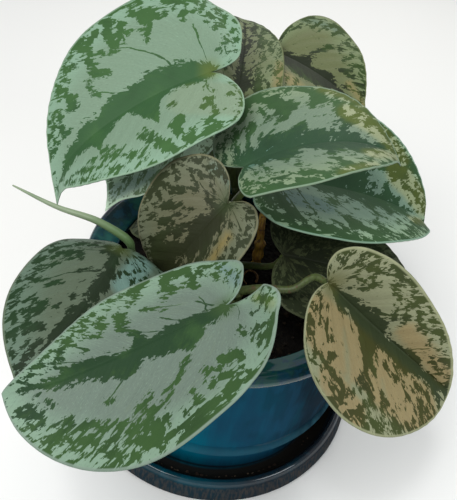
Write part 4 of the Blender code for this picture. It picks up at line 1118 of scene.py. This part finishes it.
def glaze_finish(name, main, pooling_and_side_shade, dark, thin):
    """Deep glossy glaze: painted side shade makes it bluer, then darker, towards the left and right; darker
    blotches where it pools, thin and greener on the lip.
    """
    surface = Surface(name, roughness=0.10, specular=0.0, coat_roughness=0.06)
    place = surface.place()
    across, depth, height = surface.parts(place)
    cloud = surface.noise(surface.scaled(place, 1.0, 1.0, 0.5), 38.0, 3.0, 0.55)
    runs = surface.noise(surface.scaled(place, 1.0, 1.0, 0.06), 300.0, 2.0)
    # Painted shade: the glaze turns bluer, then darker, away from the front towards the left and right
    side_shading = surface.math("ABSOLUTE", across + 0.006) * 9.5 + (cloud - 0.5) * 0.9 + (runs - 0.5) * 0.3
    shade = surface.step(side_shading, 0.30, 0.52)
    skin = surface.mix(surface.step(side_shading, 0.00, 0.30), main, pooling_and_side_shade)
    skin = surface.mix(shade, skin, dark)
    skin = surface.mix(surface.step(runs, 0.50, 0.70) * 0.15, skin, toned(main, 1.5))
    skin = surface.mix(surface.step(cloud * 1.4 + runs * 0.5, 0.90, 0.78) * 0.45, skin, toned(pooling_and_side_shade, 0.45))
    # Painted highlight: a paler line along the bead, where it catches the light
    bead_highlight = surface.between(height, *POT_BEAD_HIGHLIGHT)
    skin = surface.mix(bead_highlight * surface.step(runs + cloud, 0.70, 1.10) * 0.40, skin, colour(50, 92, 104))
    radius = surface.math("SQRT", across * across + depth * depth)
    top = surface.step(height + (cloud - 0.5) * 0.002, *LIP_TOP)
    # The lip's thin glaze takes the same painted side shade
    skin = surface.mix(top * 0.9, skin, surface.mix(shade, thin, dark))
    skin = surface.mix(top * surface.step(runs + cloud * 0.6, 0.80, 0.95) * 0.7, skin, pooling_and_side_shade)
    edge = surface.step(radius, *EDGE_RADII)
    # Painted highlight: a pale broken line on the outer crest of the lip
    crest_highlight = surface.between(height, *LIP_HIGHLIGHT) * edge * surface.step(cloud + runs * 0.3, 0.44, 0.60)
    skin = surface.mix(crest_highlight * 0.85, skin, colour(205, 198, 176))
    wall = surface.step(radius, *WALL_RADII) * surface.step(height, *SAUCER_WALL)
    fine = surface.noise(surface.scaled(place, 1.0, 1.0, 0.12), 1000.0, 2.0)
    unglazed = surface.mix(surface.step(fine, 0.35, 0.65), colour(34, 46, 54), colour(66, 62, 60))
    skin = surface.mix(wall * 0.8, skin, unglazed)
    # Dark grit stain in the saucer's trough, darkened further as painted shadow of the gap under the pot
    grime_and_gap_shadow = surface.between(height, *SAUCER_TROUGH) * surface.between(radius, *TROUGH_RADII)
    skin = surface.mix(grime_and_gap_shadow * 0.95, skin, colour(30, 28, 25))
    surface.feed("Base Color", skin)
    surface.feed("Roughness", grime_and_gap_shadow * 0.6 + 0.10)
    lip = surface.step(height, *LIP_GLOSS)
    crest = surface.between(height, *SAUCER_CREST) * edge
    surface.feed("Coat Weight", surface.math("MAXIMUM", lip, crest) * 0.95 + 0.05)
    dimple = surface.noise(place, 220.0, 2.0)
    surface.bump(dimple + cloud * 2.0, 0.12, 0.0008)
    return surface.material


def soil_finish(name):
    """Dark, matt and lumpy potting mix; its near-black colour is partly painted shade."""
    surface = Surface(name, roughness=0.95, specular=0.15)
    place = surface.place()
    grains = surface.cells(place, 420.0)
    lumps = surface.noise(place, 180.0, 4.0, 0.7)
    # Near-black: the mix's own dark colour deepened as painted shade under the leaves
    skin = surface.mix(surface.step(lumps, 0.5, 0.75), colour(12, 10, 8), colour(36, 30, 22))
    surface.feed("Base Color", skin)
    surface.bump(lumps + grains * 0.6, 1.0, 0.0018)
    return surface.material


def crumb_finish(name, base, other):
    """Matt crumbs in two colours, each with darker specks."""
    surface = Surface(name, roughness=0.9, specular=0.2)
    place = surface.place()
    lumps = surface.noise(place, 500.0, 4.0, 0.7)
    patch = surface.noise(place, 90.0, 1.0)
    skin = surface.mix(surface.step(patch, 0.45, 0.6), base, other)
    skin = surface.mix(surface.step(lumps, 0.55, 0.75) * 0.6, skin, colour(16, 13, 11))
    surface.feed("Base Color", skin)
    surface.bump(lumps, 0.8, 0.0008)
    return surface.material


def turned(name, profile, steps, closed):
    """A ring of points set on the profile and turned about Z; closed joins its last point to its first."""
    deselect()
    bpy.ops.mesh.primitive_circle_add(vertices=len(profile), radius=0.01, fill_type="NOTHING")
    piece = made(name)
    for vertex, (radius, height) in zip(piece.data.vertices, profile):
        vertex.co = (radius, 0.0, height)
    if not closed:
        bpy.ops.object.mode_set(mode="EDIT")
        bpy.ops.mesh.select_all(action="DESELECT")
        bpy.ops.object.mode_set(mode="OBJECT")
        for edge in piece.data.edges:
            edge.select = set(edge.vertices) == {0, len(profile) - 1}
        bpy.ops.object.mode_set(mode="EDIT")
        bpy.ops.mesh.select_mode(type="EDGE")
        bpy.ops.mesh.delete(type="EDGE")
        bpy.ops.object.mode_set(mode="OBJECT")
    screw = piece.modifiers.new("turn", "SCREW")
    screw.axis = "Z"
    screw.angle = math.tau
    screw.steps = steps
    screw.render_steps = steps
    screw.use_merge_vertices = True
    screw.merge_threshold = WELD_DISTANCE
    apply_all(piece)
    weld(outward=True)
    bpy.ops.object.shade_smooth_by_angle(angle=math.radians(40))
    return piece


def arc(centre, radius, start, end, steps):
    """Points on an arc in the profile plane, angles in degrees."""
    angles = [math.radians(start + (end - start) * step / steps) for step in range(steps + 1)]
    return [(centre[0] + radius * math.cos(a), centre[1] + radius * math.sin(a)) for a in angles]


def saucer_profile(settings):
    """Radius and height of the saucer's section, from the middle of its floor round to its underside."""
    outer = settings.saucer_radius
    crest = outer - 0.00415
    return [
        (0.0, SAUCER_FLOOR),
        (0.0585, SAUCER_FLOOR),
        (0.0610, SAUCER_FLOOR + 0.0006),
        (outer - 0.0079, SAUCER_FLOOR + 0.0026),
        (outer - 0.0066, SAUCER_FLOOR + 0.0046),
        *arc((crest, 0.01075), 0.00175, 175, 10, 12),
        (outer - 0.0012, 0.0088),
        (outer - 0.0005, 0.0060),
        (outer, 0.0026),
        (outer - 0.0004, 0.0010),
        (outer - 0.0014, 0.0),
        (0.0, 0.0),
    ]


def pot_profile(settings):
    """Radius and height of the pot's section, from the inside of the lip over it and down, and back."""
    rim = settings.rim_radius
    body = settings.body_radius
    base = SAUCER_FLOOR + SEAT_GAP
    return [
        *arc((0.0545, RIM_HEIGHT - 0.0048), 0.0015, 180, 110, 4),
        (0.0570, RIM_HEIGHT - 0.0026),
        (rim - 0.0055, RIM_HEIGHT - 0.0010),
        *arc((rim - 0.00275, RIM_HEIGHT - 0.00275), 0.00275, 100, -70, 14),
        (rim - 0.0019, RIM_HEIGHT - 0.0064),
        (rim - 0.0020, RIM_HEIGHT - 0.0080),
        (body + 0.0019, 0.0700),
        (body + 0.0008, 0.0500),
        (body, 0.0360),
        (body + 0.0003, 0.0336),
        *arc((body - 0.0020, 0.0292), 0.0037, 70, -60, 8),
        (body - 0.0022, 0.0232),
        (0.0580, 0.0185),
        (0.0571, 0.0120),
        (0.0570, base + 0.0016),
        (0.0560, base),
        (0.0500, base),
        (0.0485, base + 0.0030),
        (0.0060, base + 0.0030),
        (0.0060, 0.0140),
        (0.0460, 0.0140),
        (0.0500, 0.0180),
        (0.0565, 0.0760),
        (0.0545, 0.0815),
    ]


def scatter_crumbs(name, spots, material):
    """Small broken crumbs, each a copy of one rough lump."""
    deselect()
    bpy.ops.mesh.primitive_ico_sphere_add(subdivisions=2, radius=1.0, location=(0, 0, 0))
    lump = made(name)
    for vertex in lump.data.vertices:
        vertex.co *= 1.0 + 0.35 * noise.noise(vertex.co * 1.7)
    pieces = []
    for place, size, spin in spots:
        copy = lump.copy()
        copy.data = lump.data.copy()
        bpy.context.scene.collection.objects.link(copy)
        turn = Matrix.Rotation(spin[0], 4, "Z") @ Matrix.Rotation(spin[1], 4, "X")
        copy.data.transform(Matrix.Translation(place) @ turn @ Matrix.Diagonal((*size, 1.0)))
        pieces.append(copy)
    bpy.data.objects.remove(lump, do_unlink=True)
    crumbs = join_pieces(name, pieces)
    dress(crumbs, material)
    bpy.ops.object.shade_flat()
    return crumbs


def soil_height(x, y):
    """Height of the slightly domed soil."""
    return SOIL_LEVEL + SOIL_CROWN * max(0.0, 1 - (x * x + y * y) / CROWN_RADIUS**2)


class POTHOS_OT_pot(bpy.types.Operator):
    """Turn the glazed pot"""
    bl_idname = "pothos.pot"
    bl_label = "Pot"

    def execute(self, context):
        settings = context.scene.pothos_pot
        pot = turned("glazed_pot", pot_profile(settings), settings.turning_steps, True)
        # After the main glaze: the painted side shade, bluer and then darker, and the thin glaze of the lip
        glaze = glaze_finish(
            "pot_glaze", tuple(settings.glaze), colour(20, 66, 90), colour(12, 36, 50), colour(34, 84, 78))
        dress(pot, glaze)
        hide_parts("pot")
        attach(pot, "root")
        return {"FINISHED"}


class POTHOS_OT_saucer(bpy.types.Operator):
    """Turn the saucer and leave a little washed-out grit in it"""
    bl_idname = "pothos.saucer"
    bl_label = "Saucer"

    def execute(self, context):
        settings = context.scene.pothos_pot
        saucer = turned("glazed_saucer", saucer_profile(settings), settings.turning_steps, False)
        # After the main glaze: the painted side shade, bluer and then darker, and the thin glaze of the lip
        glaze = glaze_finish(
            "saucer_glaze", colour(6, 62, 76), colour(14, 44, 56), colour(26, 32, 40), colour(16, 66, 68))
        dress(saucer, glaze)
        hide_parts("saucer")
        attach(saucer, "root")
        chance = np.random.default_rng(19)
        first_angle, sweep = -150, 120
        spots = []
        for step in range(GRIT_COUNT):
            angle = math.radians(first_angle + sweep * (step + chance.random()) / GRIT_COUNT)
            radius = 0.0602 + 0.0024 * chance.random()
            size = 0.0005 + 0.0008 * chance.random() ** 2
            spots.append((Vector((radius * math.cos(angle), radius * math.sin(angle), SAUCER_FLOOR + 0.0006)),
                          Vector((size, size * 0.8, size * 0.6)), (math.tau * chance.random(), 0.0)))
        grit = scatter_crumbs(
            "saucer_grit", spots, crumb_finish("washed_grit", colour(44, 34, 28), colour(84, 72, 60)))
        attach(grit, "root")
        return {"FINISHED"}


class POTHOS_OT_soil(bpy.types.Operator):
    """Give the soil its texture and cover it with crumbs of bark and mix"""
    bl_idname = "pothos.soil"
    bl_label = "Soil"

    def execute(self, context):
        dress(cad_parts["soil"], soil_finish("potting_mix"))
        chance = np.random.default_rng(7)
        spots = []
        while len(spots) < CRUMB_COUNT:
            radius = SOIL_RADIUS * math.sqrt(chance.random())
            angle = math.tau * chance.random()
            x = radius * math.cos(angle)
            y = radius * math.sin(angle)
            if any(math.hypot(x - vine.foot[0], y - vine.foot[1]) < vine.radius + 0.0020
                   for vine in VINES.values()):
                continue
            size = 0.0006 + 0.0016 * chance.random() ** 2
            shape = Vector((1.0, 0.6 + 0.4 * chance.random(), 0.5 + 0.3 * chance.random())) * size
            spots.append((Vector((x, y, soil_height(x, y) + size * 0.1)), shape,
                          (math.tau * chance.random(), 0.6 * chance.random())))
        crumbs = scatter_crumbs(
            "soil_crumbs", spots, crumb_finish("mix_crumbs", colour(20, 17, 13), colour(44, 34, 24)))
        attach(crumbs, "root")
        return {"FINISHED"}


class POTHOS_OT_vines(bpy.types.Operator):
    """Grow the vines and the leaf stalks"""
    bl_idname = "pothos.vines"
    bl_label = "Vines"

    def execute(self, context):
        plant = context.scene.pothos_plant
        finishes = {
            "vine": stem_finish(
                "living_stem", tuple(plant.stalk_colour), colour(62, 72, 36), colour(74, 62, 36)),
            "dry_sheath": stem_finish(
                "dry_stem", colour(186, 146, 60), colour(140, 98, 46), colour(88, 62, 40)),
        }
        for vine_name, vine in VINES.items():
            pieces = [tube(vine_name + "_stem", *woody_stem(vine))]
            for leaf_name, leaf in LEAVES.items():
                if leaf.route[0] == vine_name:
                    pieces.append(tube("stalk_of_" + leaf_name, *stalk(leaf)))
            if vine_name == "vine_back":
                pieces.append(tube("stalk_sheath", *sheath()))
                pieces.append(tube("rolled_shoot", *shoot()))
            if SPIKE_STALK[0] == vine_name:
                start = vine_axis(vine, SPIKE_STALK[1])
                end = np.array(SPIKE_STALK[2])
                middle = (start + end) / 2 + np.array((0.0, 0.0, 0.0008))
                points = through_points([start, middle, end], np.linspace(0, 1, 12))
                pieces.append(tube("stalk_of_new_leaf", points, np.linspace(0.0019, 0.0015, 12)))
            growth = join_pieces(vine_name + "_growth", pieces)
            dress(growth, finishes[vine.finish])
            bpy.ops.object.shade_smooth_by_angle(angle=math.radians(50))
            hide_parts(vine_name)
            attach(growth, "root")
        return {"FINISHED"}


class POTHOS_OT_new_leaf(bpy.types.Operator):
    """Roll the youngest leaf into its spike"""
    bl_idname = "pothos.new_leaf"
    bl_label = "New leaf"

    def execute(self, context):
        share = np.linspace(0, 1, 60)
        points = through_points(SPIKE_ROUTE, share)
        swell = np.clip(share / 0.18, 0, 1) ** 0.5
        radii = 0.0003 + 0.0018 * (1 - share) ** 0.8 * (0.6 + 0.4 * swell)
        spike = tube("rolled_leaf", points, radii)
        surface = Surface("rolled_blade", roughness=0.45, specular=0.4)
        place = surface.place()
        across, _, height = surface.parts(place)
        streak = surface.noise(surface.scaled(place, 0.10, 1.0, 1.0), 500.0, 1.0)
        # Painted highlight: a pale streak along the upper side of the rolled leaf
        top_highlight = surface.step(height + across * 0.147 + streak * 0.0008, 0.1100, 0.1112)
        base = surface.step(across, -0.070, -0.045)
        skin = surface.mix(base, colour(122, 138, 110), colour(86, 112, 70))
        skin = surface.mix(top_highlight * 0.55, skin, colour(158, 176, 148))
        skin = surface.mix(surface.step(streak, 0.50, 0.75) * 0.4, skin, colour(88, 112, 82))
        surface.feed("Base Color", skin)
        surface.bump(streak, 0.5, 0.0005)
        dress(spike, surface.material)
        bpy.ops.object.shade_smooth_by_angle(angle=math.radians(60))
        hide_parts("new_leaf")
        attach(spike, "root")
        return {"FINISHED"}


class POTHOS_OT_tendril(bpy.types.Operator):
    """Curl the withered tendril on the soil"""
    bl_idname = "pothos.tendril"
    bl_label = "Tendril"

    def execute(self, context):
        turns = np.linspace(math.radians(-30), math.radians(250), 40)
        lowest = SOIL_LEVEL + SOIL_CROWN + TENDRIL_THICKNESS
        points = [(TENDRIL_CENTRE[0] + TENDRIL_RADIUS * math.cos(turn),
                   TENDRIL_CENTRE[1] + TENDRIL_RADIUS * math.sin(turn),
                   lowest + TENDRIL_RISE * (1 + math.sin(turn))) for turn in turns]
        taper = TENDRIL_THICKNESS * (1 - 0.5 * np.linspace(0, 1, len(points)))
        curl = tube("withered_curl", points, taper)
        dress(curl, stem_finish("dry_curl", colour(150, 112, 66), colour(112, 78, 44), colour(70, 48, 30)))
        bpy.ops.object.shade_smooth()
        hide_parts("tendril")
        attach(curl, "root")
        return {"FINISHED"}


class POTHOS_OT_leaves(bpy.types.Operator):
    """Lay out every blade with its own markings"""
    bl_idname = "pothos.leaves"
    bl_label = "Leaves"

    def execute(self, context):
        for name, leaf in LEAVES.items():
            make_blade(name, leaf, LOOKS[name], context.scene.pothos_plant)
        return {"FINISHED"}


class POTHOS_OT_stage(bpy.types.Operator):
    """Set up the floor, the soft lights and the camera"""
    bl_idname = "pothos.stage"
    bl_label = "Stage"

    def execute(self, context):
        settings = context.scene.pothos_stage
        deselect()
        bpy.ops.mesh.primitive_plane_add(size=4.0, location=(0, 0, -0.0001))
        floor = made("pale_floor")
        surface = Surface("pale_paper", roughness=0.9, specular=0.1)
        mottle = surface.noise(surface.place(), 3.0, 2.0)
        base = tuple(settings.floor_colour)
        surface.feed("Base Color", surface.mix(mottle, base, toned(base, 0.98)))
        dress(floor, surface.material)
        for name, place, size, share, tint in LAMPS:
            deselect()
            bpy.ops.object.light_add(type="AREA", location=place)
            lamp = made(name)
            lamp.data.size = size
            lamp.data.energy = settings.key_power * share
            lamp.data.color = tint
            lamp.rotation_mode = "QUATERNION"
            lamp.rotation_quaternion = (AIM - Vector(place)).to_track_quat("-Z", "Y")
        world = bpy.data.worlds.new("studio")
        world.use_nodes = True
        sky = world.node_tree.nodes["Background"]
        sky.inputs["Color"].default_value = (0.95, 0.98, 1.0, 1.0)
        sky.inputs["Strength"].default_value = settings.sky_strength
        context.scene.world = world
        bpy.ops.object.camera_add()
        camera = made("camera")
        camera.data.lens = settings.focal_length
        camera.data.sensor_width = 36.0
        camera.data.clip_start = 0.01
        elevation = math.radians(CAMERA_ELEVATION)
        roll = math.radians(CAMERA_ROLL)
        back = Vector((0.0, -math.cos(elevation), math.sin(elevation)))
        level = Vector((1.0, 0.0, 0.0))
        above = back.cross(level)
        right = level * math.cos(roll) + above * math.sin(roll)
        top = above * math.cos(roll) - level * math.sin(roll)
        pose = Matrix((right, top, back)).transposed().to_4x4()
        pose.translation = CAMERA_PLACE
        camera.matrix_world = pose
        context.scene.camera = camera
        context.scene.view_settings.view_transform = "Standard"
        return {"FINISHED"}


class POTHOS_PT_panel(bpy.types.Panel):
    """Buttons for every piece of the plant"""
    bl_label = "Potted satin pothos"
    bl_idname = "POTHOS_PT_panel"
    bl_space_type = "VIEW_3D"
    bl_region_type = "UI"
    bl_category = "Pothos"

    def draw(self, context):
        scene = context.scene
        for title, group in (("Pot", scene.pothos_pot), ("Plant", scene.pothos_plant),
                             ("Stage", scene.pothos_stage)):
            box = self.layout.box()
            box.label(text=title)
            for key in group.__annotations__:
                box.prop(group, key)
        for operator in OPERATORS:
            self.layout.operator(operator.bl_idname)


SETTINGS = (PotSettings, PlantSettings, StageSettings)
OPERATORS = (POTHOS_OT_saucer, POTHOS_OT_pot, POTHOS_OT_soil, POTHOS_OT_vines, POTHOS_OT_new_leaf,
             POTHOS_OT_tendril, POTHOS_OT_leaves, POTHOS_OT_stage)


def register():
    for item in (*SETTINGS, *OPERATORS, POTHOS_PT_panel):
        bpy.utils.register_class(item)
    bpy.types.Scene.pothos_pot = PointerProperty(type=PotSettings)
    bpy.types.Scene.pothos_plant = PointerProperty(type=PlantSettings)
    bpy.types.Scene.pothos_stage = PointerProperty(type=StageSettings)


def unregister():
    del bpy.types.Scene.pothos_stage
    del bpy.types.Scene.pothos_plant
    del bpy.types.Scene.pothos_pot
    for item in reversed((*SETTINGS, *OPERATORS, POTHOS_PT_panel)):
        bpy.utils.unregister_class(item)


def main():
    register()
    bpy.ops.pothos.saucer()
    bpy.ops.pothos.pot()
    bpy.ops.pothos.soil()
    bpy.ops.pothos.vines()
    bpy.ops.pothos.new_leaf()
    bpy.ops.pothos.tendril()
    bpy.ops.pothos.leaves()
    bpy.ops.pothos.stage()
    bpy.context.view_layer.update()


if __name__ == "__main__":
    main()
